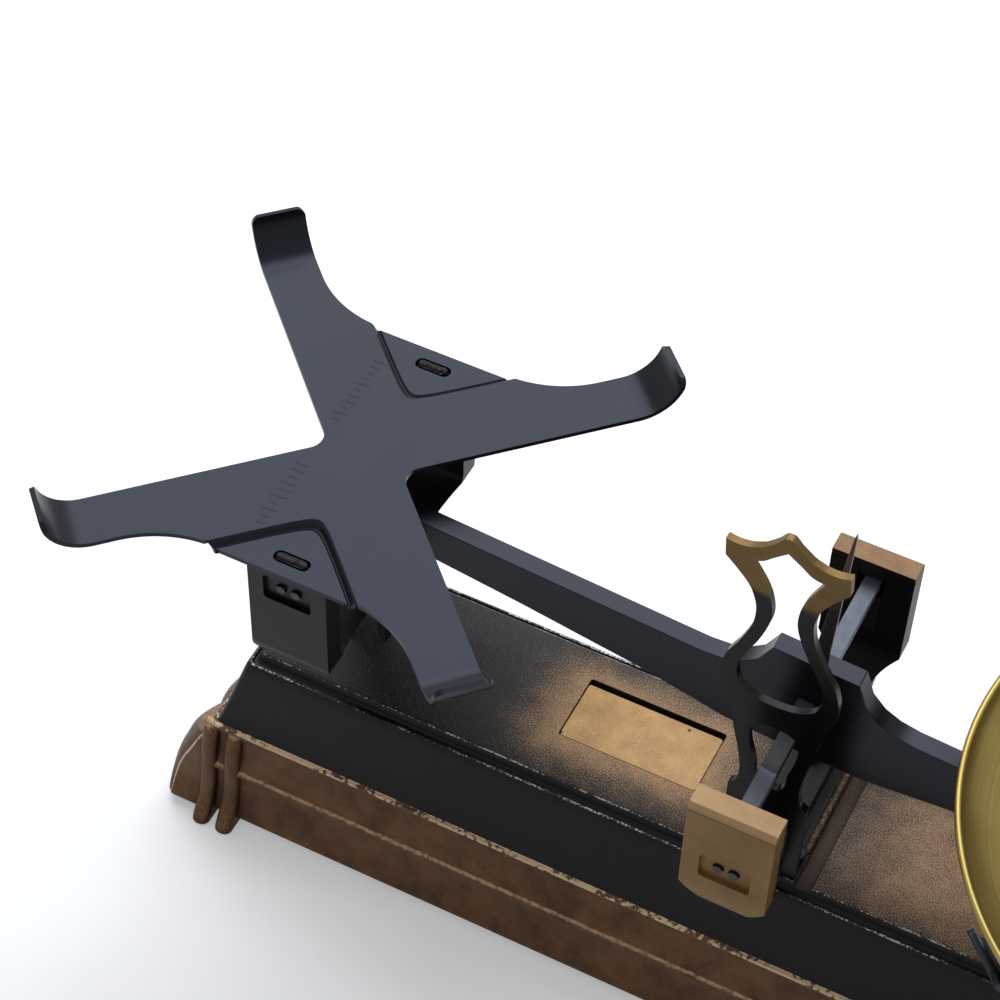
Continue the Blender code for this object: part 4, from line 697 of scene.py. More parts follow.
shape = bmesh.new()
outline = rounded_box(
    COVER_LEFT - GAP, COVER_RIGHT + GAP, COVER_FRONT - GAP, COVER_REAR + COVER_REAR_SLACK,
    COVER_CORNER)
add_prism(shape, outline, "Z", DECK_HEIGHT - REBATE_DEPTH, top, INSIDE)
combine(base, shape, "DIFFERENCE")
shape = bmesh.new()
outline = rounded_box(
    COVER_LEFT + COVER_LEDGE, COVER_RIGHT - COVER_LEDGE, COVER_FRONT + COVER_LEDGE,
    COVER_REAR - COVER_LEDGE, COVER_CORNER)
add_prism(shape, outline, "Z", under, top, INSIDE)
combine(base, shape, "DIFFERENCE")
base.data.shade_smooth()
base.data.set_sharp_from_angle(angle=math.radians(50))
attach(base, "root")
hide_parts("base_casting")

# Cover plate
# A loose plate of cast iron that drops into a recess in the deck, over the opening to the stay.
# It is painted with the same gold spray, and its face shows sand pits from casting.

COVER_TOP = 0.0897
COVER_THICKNESS = 0.0027

# Gold bronze spray on a cast plate: dull even gold, with dark pinholes where sand broke away.
cover_gold, tree, place = new_material("gold_spray_on_cover")
cloud = add_node(tree, "ShaderNodeTexNoise", {"Vector": place, "Scale": 90.0, "Detail": 5.0})
grain = add_node(tree, "ShaderNodeTexNoise", {"Vector": place, "Scale": 1 / SPRAY_GRAIN, "Detail": 1.0})
both = add_node(tree, "ShaderNodeMix", {
    0: 0.45, 2: cloud.outputs["Fac"], 3: grain.outputs["Fac"]}, data_type="FLOAT")
shade = add_node(tree, "ShaderNodeValToRGB", {"Fac": both.outputs[0]})
ramp = shade.color_ramp
ramp.elements[0].position = 0.30
ramp.elements[0].color = srgb("#8A6740")
ramp.elements[1].position = 0.70
ramp.elements[1].color = srgb("#BC9663")
pits = add_node(tree, "ShaderNodeTexVoronoi", {"Vector": place, "Scale": 110.0, "Randomness": 1.0})
pit = add_node(tree, "ShaderNodeMapRange", {
    "Value": pits.outputs["Distance"], "From Min": 0.05, "From Max": 0.10, "To Min": 0.0, "To Max": 1.0})
colour = add_node(tree, "ShaderNodeMix", {
    0: pit.outputs[0], 6: srgb("#2E2015"), 7: shade.outputs["Color"]}, data_type="RGBA")
bump = cast_bump(tree, place, 240.0, 1500.0, 0.5, 0.35, 0.0006)
shader = add_node(tree, "ShaderNodeBsdfPrincipled", {
    "Base Color": colour.outputs[2], "Metallic": 0.35, "Roughness": 0.50, "Normal": bump,
    "Specular IOR Level": 0.35})
add_node(tree, "ShaderNodeOutputMaterial", {"Surface": shader.outputs[0]})

shape = bmesh.new()
outline = rounded_box(COVER_LEFT, COVER_RIGHT, COVER_FRONT, COVER_REAR, COVER_CORNER)
add_prism(shape, outline, "Z", COVER_TOP - COVER_THICKNESS, COVER_TOP)
cover = make_piece("cover_plate_painted", shape, (cover_gold,))
round_edges(cover, 0.0004, 2)
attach(cover, "cover")
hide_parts("cover_plate")

# Fulcrum stand
# A U-shaped iron casting bolted to the deck. Each head holds the steel bearing of the centre
# knife in a pocket, and the front head is painted gold.

KNIFE_HEIGHT = 0.150
HEAD_THICKNESS = 0.010
POCKET_HALF = 0.0055
POCKET_DEPTH = 0.0055
POCKET_REACH = 0.0205
WINDOW_HALF = 0.010
WINDOW_NEAR = 0.007
WINDOW_FAR = 0.020
WINDOW_DEPTH = 0.002
SHANK_PITCH = 0.0062
SHANK_RADIUS = 0.0020
STAND_HALF_GAP = 0.061
STAND_HALF_WIDTH = 0.017
STAND_NECK_HALF = 0.009
STAND_HEAD_TOP = 0.1667
STAND_HEAD_FOOT = 0.124
STAND_BOTTOM = 0.0903
STAND_FOOT_TOP = 0.099
STAND_FOOT_HALF = 0.028
# Line of the web from the head to the flat foot: share of the way in, share of the drop.
WEB_OUTER_SHARES = ((0.0, 0.0), (0.03, 0.22), (0.15, 0.52), (0.36, 0.78), (0.64, 0.94), (1.0, 1.0))
WEB_INNER_SHARES = ((0.0, 0.0), (0.06, 0.30), (0.24, 0.62), (0.52, 0.86), (0.80, 0.98), (1.0, 1.0))
NECK_SHARES = ((0.0, 0.14), (0.35, 0.36), (0.72, 0.62), (0.92, 0.84), (1.0, 1.0))
WEB_STEPS = 6
HEAD_GOLD_FACE = (-0.0632, -0.0618)
HEAD_GOLD_RISE = (0.098, 0.110)


def mirror_outline(right_half):
    return list(right_half) + [(-a, b) for a, b in reversed(right_half) if a > 0]


def bracket_side(half_gap, head_top, head_foot, foot_half, web_top, web_bottom):
    """Outline of a U-shaped casting seen along X."""
    outer = half_gap + HEAD_THICKNESS
    right = [(0.0, web_bottom)]
    for in_share, drop_share in reversed(curve_through(WEB_OUTER_SHARES, WEB_STEPS)):
        right.append((
            outer + (foot_half - outer) * in_share, head_foot + (web_bottom - head_foot) * drop_share))
    right.append((outer, head_top))
    right.append((half_gap, head_top))
    for in_share, drop_share in curve_through(WEB_INNER_SHARES, WEB_STEPS):
        right.append((
            half_gap + (foot_half - half_gap) * in_share, head_foot + (web_top - head_foot) * drop_share))
    right.append((0.0, web_top))
    return mirror_outline(right)


def bracket_front(half_width, neck_half, head_top, head_foot, bottom, neck_drop):
    """Outline of the same casting seen along Y: broad heads on a narrow neck."""
    right = [(neck_half, bottom)]
    for in_share, drop_share in reversed(curve_through(NECK_SHARES, WEB_STEPS)):
        right.append((half_width + (neck_half - half_width) * in_share, head_foot - neck_drop * drop_share))
    right.append((half_width, head_foot))
    right.append((half_width, head_top))
    return mirror_outline(right)


def build_bracket(name, materials, side, front, half_width, reach, centre):
    shape = bmesh.new()
    outline = [(a, b + centre[1]) for a, b in side]
    add_prism(shape, outline, "X", centre[0] - half_width, centre[0] + half_width)
    bracket = make_piece(name, shape, materials)
    shape = bmesh.new()
    add_prism(shape, [(a + centre[0], b + centre[1]) for a, b in front], "Y", -reach, reach)
    combine(bracket, shape, "INTERSECT")
    return bracket


def cut_heads(bracket, half_gap, centre, toward_head, pocket_far):
    outer = half_gap + HEAD_THICKNESS
    pocket_end = half_gap + POCKET_DEPTH
    x = centre[0]
    for side in (-1, 1):
        shape = bmesh.new()
        low, high = sorted((centre[1] + toward_head * POCKET_REACH, pocket_far))
        outline = rounded_box(x - POCKET_HALF, x + POCKET_HALF, low, high, 0.0008, 3)
        add_prism(shape, outline, "Y", side * (half_gap - OVERRUN), side * pocket_end)
        combine(bracket, shape, "DIFFERENCE")
        shape = bmesh.new()
        low, high = sorted((centre[1] + toward_head * WINDOW_NEAR, centre[1] + toward_head * WINDOW_FAR))
        outline = rounded_box(x - WINDOW_HALF, x + WINDOW_HALF, low, high, 0.0015, 4)
        add_prism(shape, outline, "Y", side * (outer - WINDOW_DEPTH), side * (outer + OVERRUN))
        combine(bracket, shape, "DIFFERENCE")
        for place_x in (-1, 1):
            shape = bmesh.new()
            outline = circle(x + place_x * SHANK_PITCH / 2, (low + high) / 2, SHANK_RADIUS + GAP, 24)
            add_prism(shape, outline, "Y", side * (pocket_end - GAP), side * (outer - WINDOW_DEPTH + GAP))
            combine(bracket, shape, "DIFFERENCE")


# Black enamel brushed on the stand, with gold spray on its front head from the top down.
stand_paint, tree, place = new_material("enamel_with_gold_front_head")
axes = add_node(tree, "ShaderNodeSeparateXYZ", {"Vector": place})
ragged = add_node(tree, "ShaderNodeTexNoise", {"Vector": place, "Scale": 220.0, "Detail": 4.0})
cloud = add_node(tree, "ShaderNodeTexNoise", {"Vector": place, "Scale": 80.0, "Detail": 5.0})
wobble = add_node(tree, "ShaderNodeMapRange", {
    "Value": ragged.outputs["Fac"], "From Min": 0.3, "From Max": 0.7, "To Min": -0.0015, "To Max": 0.0015})
face = add_node(tree, "ShaderNodeMath", {0: axes.outputs["Y"], 1: wobble.outputs[0]}, operation="ADD")
on_face = add_node(tree, "ShaderNodeMapRange", {
    "Value": face.outputs[0], "From Min": HEAD_GOLD_FACE[0], "From Max": HEAD_GOLD_FACE[1],
    "To Min": 1.0, "To Max": 0.0})
level = add_node(tree, "ShaderNodeMath", {0: axes.outputs["Z"], 1: wobble.outputs[0]}, operation="ADD")
above = add_node(tree, "ShaderNodeMapRange", {
    "Value": level.outputs[0], "From Min": HEAD_GOLD_RISE[0], "From Max": HEAD_GOLD_RISE[1]})
golden = add_node(tree, "ShaderNodeMath", {
    0: on_face.outputs[0], 1: above.outputs[0]}, operation="MULTIPLY")
gold_shade = add_node(tree, "ShaderNodeMix", {
    0: cloud.outputs["Fac"], 6: srgb("#765932"), 7: srgb("#A08052")}, data_type="RGBA")
colour = add_node(tree, "ShaderNodeMix", {
    0: golden.outputs[0], 6: srgb("#0C0C0E"), 7: gold_shade.outputs[2]}, data_type="RGBA")
metal = add_node(tree, "ShaderNodeMath", {0: golden.outputs[0], 1: 0.35}, operation="MULTIPLY")
gloss = add_node(tree, "ShaderNodeMapRange", {
    "Value": golden.outputs[0], "To Min": 0.42, "To Max": 0.50})
bump = cast_bump(tree, place, 180.0, 1700.0, 0.35, 0.55, 0.0006)
shader = add_node(tree, "ShaderNodeBsdfPrincipled", {
    "Base Color": colour.outputs[2], "Metallic": metal.outputs[0], "Roughness": gloss.outputs[0],
    "Normal": bump, "Specular IOR Level": 0.17})
add_node(tree, "ShaderNodeOutputMaterial", {"Surface": shader.outputs[0]})

stand = build_bracket(
    "fulcrum_stand_painted", (stand_paint,),
    bracket_side(
        STAND_HALF_GAP, STAND_HEAD_TOP, STAND_HEAD_FOOT, STAND_FOOT_HALF, STAND_FOOT_TOP, STAND_BOTTOM),
    bracket_front(
        STAND_HALF_WIDTH, STAND_NECK_HALF, STAND_HEAD_TOP + OVERRUN, STAND_HEAD_FOOT,
        STAND_BOTTOM - OVERRUN, 0.017),
    STAND_HALF_WIDTH, STAND_HALF_GAP + HEAD_THICKNESS + OVERRUN, (0.0, 0.0),
)
cut_heads(stand, STAND_HALF_GAP, (0.0, KNIFE_HEIGHT), -1, STAND_HEAD_TOP + OVERRUN)
shape = bmesh.new()
for end in (-1, 1):
    hole = circle(0.0, end * BOLT_PLACE, BOLT_HOLE)
    add_prism(shape, hole, "Z", STAND_BOTTOM - OVERRUN, STAND_FOOT_TOP + OVERRUN)
combine(stand, shape, "DIFFERENCE")
round_edges(stand, 0.0009, 3)
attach(stand, "root")
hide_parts("fulcrum_stand")

# Stand caps
# A small iron cap closes each bearing pocket from above; its tongue sits in the pocket.
# The front one is painted gold all over, paler as a painted sheen, and the rear one, browner, on its top
# alone.

# Gold bronze paint on the cast caps: paler in front as a painted sheen, browner behind, black below.
cap_gold, tree, place = new_material("gold_bronze_paint_on_caps")
cloud = add_node(tree, "ShaderNodeTexNoise", {"Vector": place, "Scale": 130.0, "Detail": 5.0})
grain = add_node(tree, "ShaderNodeTexNoise", {"Vector": place, "Scale": 1 / SPRAY_GRAIN, "Detail": 1.0})
both = add_node(tree, "ShaderNodeMix", {
    0: 0.55, 2: cloud.outputs["Fac"], 3: grain.outputs["Fac"]}, data_type="FLOAT")
shade = add_node(tree, "ShaderNodeValToRGB", {"Fac": both.outputs[0]})
ramp = shade.color_ramp
ramp.elements[0].position = 0.30
ramp.elements[0].color = srgb("#63482E")
ramp.elements[1].position = 0.68
ramp.elements[1].color = srgb("#906E4C")
facing = add_node(tree, "ShaderNodeNewGeometry")
facing = add_node(tree, "ShaderNodeSeparateXYZ", {"Vector": facing.outputs["Normal"]})
axes = add_node(tree, "ShaderNodeSeparateXYZ", {"Vector": place})
on_top = add_node(tree, "ShaderNodeMapRange", {
    "Value": facing.outputs["Z"], "From Min": 0.30, "From Max": 0.55})
in_front = add_node(tree, "ShaderNodeMath", {0: axes.outputs["Y"], 1: 0.0}, operation="LESS_THAN")
painted = add_node(tree, "ShaderNodeMath", {
    0: on_top.outputs[0], 1: in_front.outputs[0]}, operation="MAXIMUM")
# Painted sheen: the front cap takes a paler copy of the same gold.
front_painted_sheen = add_node(tree, "ShaderNodeMix", {
    0: both.outputs[0], 6: srgb("#8C6E48"), 7: srgb("#BE9C72")}, data_type="RGBA")
front_painted_sheen = add_node(tree, "ShaderNodeMix", {
    0: in_front.outputs[0], 6: shade.outputs["Color"], 7: front_painted_sheen.outputs[2]}, data_type="RGBA")
colour = add_node(tree, "ShaderNodeMix", {
    0: painted.outputs[0], 6: srgb("#120F0D"), 7: front_painted_sheen.outputs[2]}, data_type="RGBA")
bump = cast_bump(tree, place, 240.0, 1800.0, 0.5, 0.30, 0.0005)
shader = add_node(tree, "ShaderNodeBsdfPrincipled", {
    "Base Color": colour.outputs[2], "Metallic": 0.30, "Roughness": 0.48, "Normal": bump,
    "Specular IOR Level": 0.30})
add_node(tree, "ShaderNodeOutputMaterial", {"Surface": shader.outputs[0]})


def finish_copy(node, body, material, radius, segments=3, angle=32):
    """A CAD piece whose shape is right gets rounded edges and its paint."""
    piece = bpy.data.objects.new(node + "_finished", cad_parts[node].data.copy())
    piece.data.materials.clear()
    piece.data.materials.append(material)
    scene.collection.objects.link(piece)
    round_edges(piece, radius, segments, angle)
    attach(piece, body)
    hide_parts(node)
    return piece


finish_copy("stand_cap_front", "root", cap_gold, 0.0011)
finish_copy("stand_cap_rear", "root", cap_gold, 0.0011)

# Bearings, bolts, nuts, screws and pins
# Small steel parts: hardened bearings for the knives, and bright turned or headed fasteners
# that were painted over with the casting and have worn back to grey on their corners.

# Hardened steel, blackened in oil: nearly black, with a soft grey sheen.
dark_steel = mottled_finish(
    "blackened_hardened_steel", (200.0, 4.0), ("#0E0E11", "#232429"), (0.28, 0.46),
    (300.0, 1800.0, 0.6, 0.20, 0.0004), {"Specular IOR Level": 0.35})

# Turned steel, worn bright: mottled grey metal that mirrors softly.
bright_steel = mottled_finish(
    "worn_bright_steel", (260.0, 5.0), ("#4A4644", "#8C8A88"), (0.25, 0.45),
    (300.0, 1500.0, 0.4, 0.15, 0.0003), {"Metallic": 1.0})

for end in ("front", "rear"):
    finish_copy("stand_bearing_" + end, "root", dark_steel, 0.0002, 2)
    finish_copy("stand_bolt_" + end, "root", dark_steel, 0.0004, 2)
    finish_copy("stand_nut_" + end, "root", bright_steel, 0.0004, 2)
for side in ("left", "right"):
    finish_copy("crown_screw_" + side, "root", dark_steel, 0.0003, 2)
    for end in ("front", "rear"):
        finish_copy(side + "_yoke_bearing_" + end, side + "_carrier", dark_steel, 0.0002, 2)
    finish_copy(side + "_stem_rivet", side + "_carrier", dark_steel, 0.0003, 2)
    finish_copy(side + "_stay_pin", side + "_carrier", bright_steel, 0.0003, 2)
finish_copy("stay_centre_pin", "root", bright_steel, 0.0003, 2)

# Crown frame
# A flat iron casting that frames the needle: a ring on two legs, a waist, and a three-pointed
# crown. It is black enamel, with the crown painted gold.

DECK_FOOT = 0.0903
CROWN_FRONT = -0.0315
CROWN_REAR = -0.0285
CROWN_HEIGHT = 0.188
CROWN_HALF = 0.0225
CROWN_STEPS = 10
LUG_REACH = 0.0105
LUG_THICKNESS = 0.003
# Right half of the outline from the foot up: share of the half width, share of the height.
# The groups meet in sharp corners.
CROWN_OUTER_SHARES = (
    ((0.693, 0.237), (0.578, 0.250), (0.533, 0.271), (0.533, 0.309), (0.600, 0.362), (0.702, 0.420),
     (0.747, 0.457), (0.822, 0.495), (0.956, 0.537), (0.987, 0.586), (0.911, 0.632), (0.720, 0.678),
     (0.530, 0.735), (0.475, 0.774), (0.490, 0.806), (0.585, 0.842), (0.770, 0.874), (1.000, 0.906)),
    ((1.000, 0.906), (1.000, 0.950)),
    ((1.000, 0.950), (0.820, 0.945), (0.622, 0.947), (0.450, 0.955), (0.356, 0.962), (0.178, 0.982)),
    ((0.178, 0.982), (0.071, 0.998), (0.000, 1.000)),
)
CROWN_SIGHT_SHARES = (
    ((0.000, 0.524), (0.300, 0.529), (0.560, 0.545), (0.700, 0.572), (0.720, 0.604), (0.620, 0.645),
     (0.400, 0.700), (0.235, 0.760), (0.215, 0.803), (0.320, 0.852), (0.600, 0.914)),
    ((0.600, 0.914), (0.400, 0.921), (0.220, 0.940), (0.000, 0.962)),
)
CROWN_ARCH_SHARES = (
    ((0.000, 0.270), (0.180, 0.274), (0.270, 0.295), (0.290, 0.330), (0.400, 0.385), (0.422, 0.420),
     (0.360, 0.443), (0.200, 0.457), (0.000, 0.460)),
)
CROWN_FOOT_HALF = 0.0156
CROWN_LEG_INNER = 0.0097
CROWN_CURVE_START = 0.100
CROWN_CURVE = math.radians(4.4)
CROWN_BRIDGE = 0.120
CROWN_BRIDGE_RISE = 0.006
CROWN_GOLD_RISE = (0.2445, 0.2475)

# Black enamel on a thin casting, gold paint on the crown: the gold ends in a ragged line.
crown_paint, tree, place = new_material("enamel_with_gold_crown")
axes = add_node(tree, "ShaderNodeSeparateXYZ", {"Vector": place})
cloud = add_node(tree, "ShaderNodeTexNoise", {"Vector": place, "Scale": 120.0, "Detail": 4.0})
wobble = add_node(tree, "ShaderNodeMapRange", {
    "Value": cloud.outputs["Fac"], "From Min": 0.3, "From Max": 0.7, "To Min": -0.001, "To Max": 0.001})
level = add_node(tree, "ShaderNodeMath", {0: axes.outputs["Z"], 1: wobble.outputs[0]}, operation="ADD")
golden = add_node(tree, "ShaderNodeMapRange", {
    "Value": level.outputs[0], "From Min": CROWN_GOLD_RISE[0], "From Max": CROWN_GOLD_RISE[1]})
gold_shade = add_node(tree, "ShaderNodeMix", {
    0: cloud.outputs["Fac"], 6: srgb("#5C4828"), 7: srgb("#82683E")}, data_type="RGBA")
colour = add_node(tree, "ShaderNodeMix", {
    0: golden.outputs[0], 6: srgb("#0F0F12"), 7: gold_shade.outputs[2]}, data_type="RGBA")
metal = add_node(tree, "ShaderNodeMath", {0: golden.outputs[0], 1: 0.5}, operation="MULTIPLY")
gloss = add_node(tree, "ShaderNodeMapRange", {
    "Value": golden.outputs[0], "To Min": 0.26, "To Max": 0.42})
bump = cast_bump(tree, place, 200.0, 1500.0, 0.6, 0.15, 0.0005)
shader = add_node(tree, "ShaderNodeBsdfPrincipled", {
    "Base Color": colour.outputs[2], "Metallic": metal.outputs[0], "Roughness": gloss.outputs[0],
    "Normal": bump, "Specular IOR Level": 0.12})
add_node(tree, "ShaderNodeOutputMaterial", {"Surface": shader.outputs[0]})


def crown_line(groups):
    line = []
    for group in groups:
        for a, b in curve_through(group, CROWN_STEPS):
            point = (a * CROWN_HALF, DECK_HEIGHT + b * CROWN_HEIGHT)
            if not line or math.dist(line[-1], point) > GAP / 3:
                line.append(point)
    return line


def curved(outline):
    """The frame curves a little to the left above its lugs."""
    bend = CROWN_CURVE / (DECK_HEIGHT + CROWN_HEIGHT - CROWN_CURVE_START)
    points = []
    for a, b in outline:
        turn = (b - CROWN_CURVE_START) * bend
        if turn > 0:
            b = CROWN_CURVE_START + math.sin(turn) / bend + a * math.sin(turn)
            a = a * math.cos(turn) - (1 - math.cos(turn)) / bend
        points.append((a, b))
    return points


right_half = [
    (CROWN_LEG_INNER, CROWN_BRIDGE), (CROWN_LEG_INNER, DECK_FOOT), (CROWN_FOOT_HALF, DECK_FOOT),
    *crown_line(CROWN_OUTER_SHARES),
]
shape = bmesh.new()
add_prism(
    shape, curved([(0.0, CROWN_BRIDGE + CROWN_BRIDGE_RISE)] + mirror_outline(right_half)), "Y", CROWN_FRONT,
    CROWN_REAR)
crown = make_piece("crown_frame_painted", shape, (crown_paint,))
for shares in (CROWN_SIGHT_SHARES, CROWN_ARCH_SHARES):
    shape = bmesh.new()
    add_prism(
        shape, curved(mirror_outline(crown_line(shares))), "Y", CROWN_FRONT - OVERRUN, CROWN_REAR + OVERRUN)
    combine(crown, shape, "DIFFERENCE")
for end in (-1, 1):
    shape = bmesh.new()
    low, high = sorted((end * CROWN_LEG_INNER, end * CROWN_FOOT_HALF))
    outline = rounded_box(low, high, CROWN_REAR - 0.0015, CROWN_REAR + LUG_REACH, 0.001)
    add_prism(shape, outline, "Z", DECK_FOOT, DECK_FOOT + LUG_THICKNESS)
    combine(crown, shape, "UNION")
round_edges(crown, 0.0006, 3)
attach(crown, "root")
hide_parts("crown_frame")

# Beam
# A forged steel bar, deepest at its middle, with a raised head that holds the needle and a boss
# at each end for a knife. It is black enamel with crisp edges.

# Black baking enamel on a smooth forged bar: its top mirrors the lamp as dark slate.
beam_enamel = mottled_finish(
    "smooth_black_enamel", (45.0, 3.0), ("#0A0A0C", "#131316"), (0.22, 0.34),
    (120.0, 1200.0, 0.85, 0.10, 0.0005), {"Specular IOR Level": 0.24, "Specular Tint": srgb("#E0E6FF")})
finish_copy("beam", "beam", beam_enamel, 0.0004)

# Knives
# Three hardened steel prisms that cross the beam. The centre knife points down into the stand,
# and the end knives point up into the yokes. A black band of painted shadow lies on the centre one in front.

PAINTED_SHADOW_PLACE = -0.0250
PAINTED_SHADOW_HALF = 0.0130
PAINTED_SHADOW_BLUR = 0.0008

# Ground steel with faint grinding lines along the knife, coloured pale blue-grey as a painted reflection of
# the lamp.
knife_steel, tree, place = new_material("ground_steel_with_painted_reflection_and_shadow")
grinding = add_node(tree, "ShaderNodeMapping", {"Vector": place, "Scale": (1.0, 0.08, 1.0)})
lines = add_node(tree, "ShaderNodeTexNoise", {
    "Vector": grinding.outputs[0], "Scale": 1500.0, "Detail": 3.0})
cloud = add_node(tree, "ShaderNodeTexNoise", {"Vector": place, "Scale": 140.0, "Detail": 4.0})
# Painted reflection: the pale blue-grey base colour stands in for the lamp mirrored in the knife's top.
shade = add_node(tree, "ShaderNodeValToRGB", {"Fac": cloud.outputs["Fac"]})
shade.color_ramp.elements[0].color = srgb("#4C505B")
shade.color_ramp.elements[1].color = srgb("#6C707C")
gloss = add_node(tree, "ShaderNodeMapRange", {
    "Value": lines.outputs["Fac"], "To Min": 0.42, "To Max": 0.58})
bump = add_node(tree, "ShaderNodeBump", {
    "Height": lines.outputs["Fac"], "Strength": 0.10, "Distance": 0.0003})
axes = add_node(tree, "ShaderNodeSeparateXYZ", {"Vector": place})
# Painted shadow: a black band with a ragged edge lies on the centre knife in front of the beam; outside it
# the steel shows.
shadow_edge = add_node(tree, "ShaderNodeMapRange", {
    "Value": cloud.outputs["Fac"], "To Min": -0.002, "To Max": 0.002})
shadow_edge = add_node(tree, "ShaderNodeMath", {0: axes.outputs["Y"], 1: shadow_edge.outputs[0]}, operation="ADD")
outside_painted_shadow = add_node(tree, "ShaderNodeMath", {0: shadow_edge.outputs[0], 1: PAINTED_SHADOW_PLACE}, operation="SUBTRACT")
outside_painted_shadow = add_node(tree, "ShaderNodeMath", {0: outside_painted_shadow.outputs[0]}, operation="ABSOLUTE")
outside_painted_shadow = add_node(tree, "ShaderNodeMapRange", {
    "Value": outside_painted_shadow.outputs[0], "From Min": PAINTED_SHADOW_HALF,
    "From Max": PAINTED_SHADOW_HALF + PAINTED_SHADOW_BLUR})
at_end = add_node(tree, "ShaderNodeMath", {0: axes.outputs["X"]}, operation="ABSOLUTE")
at_end = add_node(tree, "ShaderNodeMath", {
    0: at_end.outputs[0], 1: END_KNIFE_REACH / 2}, operation="GREATER_THAN")
outside_painted_shadow = add_node(tree, "ShaderNodeMath", {
    0: outside_painted_shadow.outputs[0], 1: at_end.outputs[0]}, operation="MAXIMUM")
colour = add_node(tree, "ShaderNodeMix", {
    0: outside_painted_shadow.outputs[0], 6: srgb("#0E0E11"), 7: shade.outputs["Color"]}, data_type="RGBA")
metal = add_node(tree, "ShaderNodeMath", {0: outside_painted_shadow.outputs[0], 1: 0.35}, operation="MULTIPLY")
shader = add_node(tree, "ShaderNodeBsdfPrincipled", {
    "Base Color": colour.outputs[2], "Metallic": metal.outputs[0], "Roughness": gloss.outputs[0],
    "Normal": bump.outputs[0], "Specular IOR Level": 0.3})
add_node(tree, "ShaderNodeOutputMaterial", {"Surface": shader.outputs[0]})
for node in ("centre_knife", "left_knife", "right_knife"):
    finish_copy(node, "beam", knife_steel, 0.00025, 2)

# Needle
# A flat steel blade riveted upright in the beam's head, black below and browned above; it shows
# the balance between the posts of the crown frame.

NEEDLE_BROWN_RISE = (0.212, 0.222)

# Sheet steel browned by heat, black enamel below: dull and mottled, brighter towards the tip.
needle_brown, tree, place = new_material("browned_steel_blade")
cloud = add_node(tree, "ShaderNodeTexNoise", {"Vector": place, "Scale": 300.0, "Detail": 5.0})
shade = add_node(tree, "ShaderNodeValToRGB", {"Fac": cloud.outputs["Fac"]})
shade.color_ramp.elements[0].color = srgb("#2E2019")
shade.color_ramp.elements[1].color = srgb("#6B5140")
axes = add_node(tree, "ShaderNodeSeparateXYZ", {"Vector": place})
bare = add_node(tree, "ShaderNodeMapRange", {
    "Value": axes.outputs["Z"], "From Min": NEEDLE_BROWN_RISE[0], "From Max": NEEDLE_BROWN_RISE[1]})
colour = add_node(tree, "ShaderNodeMix", {
    0: bare.outputs[0], 6: srgb("#141214"), 7: shade.outputs["Color"]}, data_type="RGBA")
bump = cast_bump(tree, place, 400.0, 1800.0, 0.5, 0.2, 0.0003)
shader = add_node(tree, "ShaderNodeBsdfPrincipled", {
    "Base Color": colour.outputs[2], "Metallic": 0.3, "Roughness": 0.42, "Normal": bump})
add_node(tree, "ShaderNodeOutputMaterial", {"Surface": shader.outputs[0]})
finish_copy("needle", "beam", needle_brown, 0.0002, 2)

# Yokes
# A U-shaped iron casting hangs from each end knife by two steel bearings and carries the pan
# support on its cheeks. Two tenons on top are hammered over in the support's slots.

YOKE_HALF_GAP = 0.050
YOKE_HALF_WIDTH = 0.0165
YOKE_DEPTH = 0.041995
YOKE_CHEEK_FOOT = 0.022495
YOKE_NECK_HALF = 0.008
YOKE_WEB = 0.0115
YOKE_POCKET_DROP = 0.009
YOKE_TOP = 0.0257
PANEL_DROP = 0.002
PLATE_TOP = 0.030
SHEET = 0.002
TENON_HALF_LENGTH = 0.0070
TENON_HALF_WIDTH = 0.0023
TENON_PROUD = 0.0008
MOAT = 0.0009
STEM_TENON_HALF = 0.004
STEM_THICKNESS = 0.006
ARM_RISE = 0.012905
carriers = (
    ("left", -END_KNIFE_REACH, KNIFE_HEIGHT + ARM_RISE),
    ("right", END_KNIFE_REACH, KNIFE_HEIGHT - ARM_RISE),
)

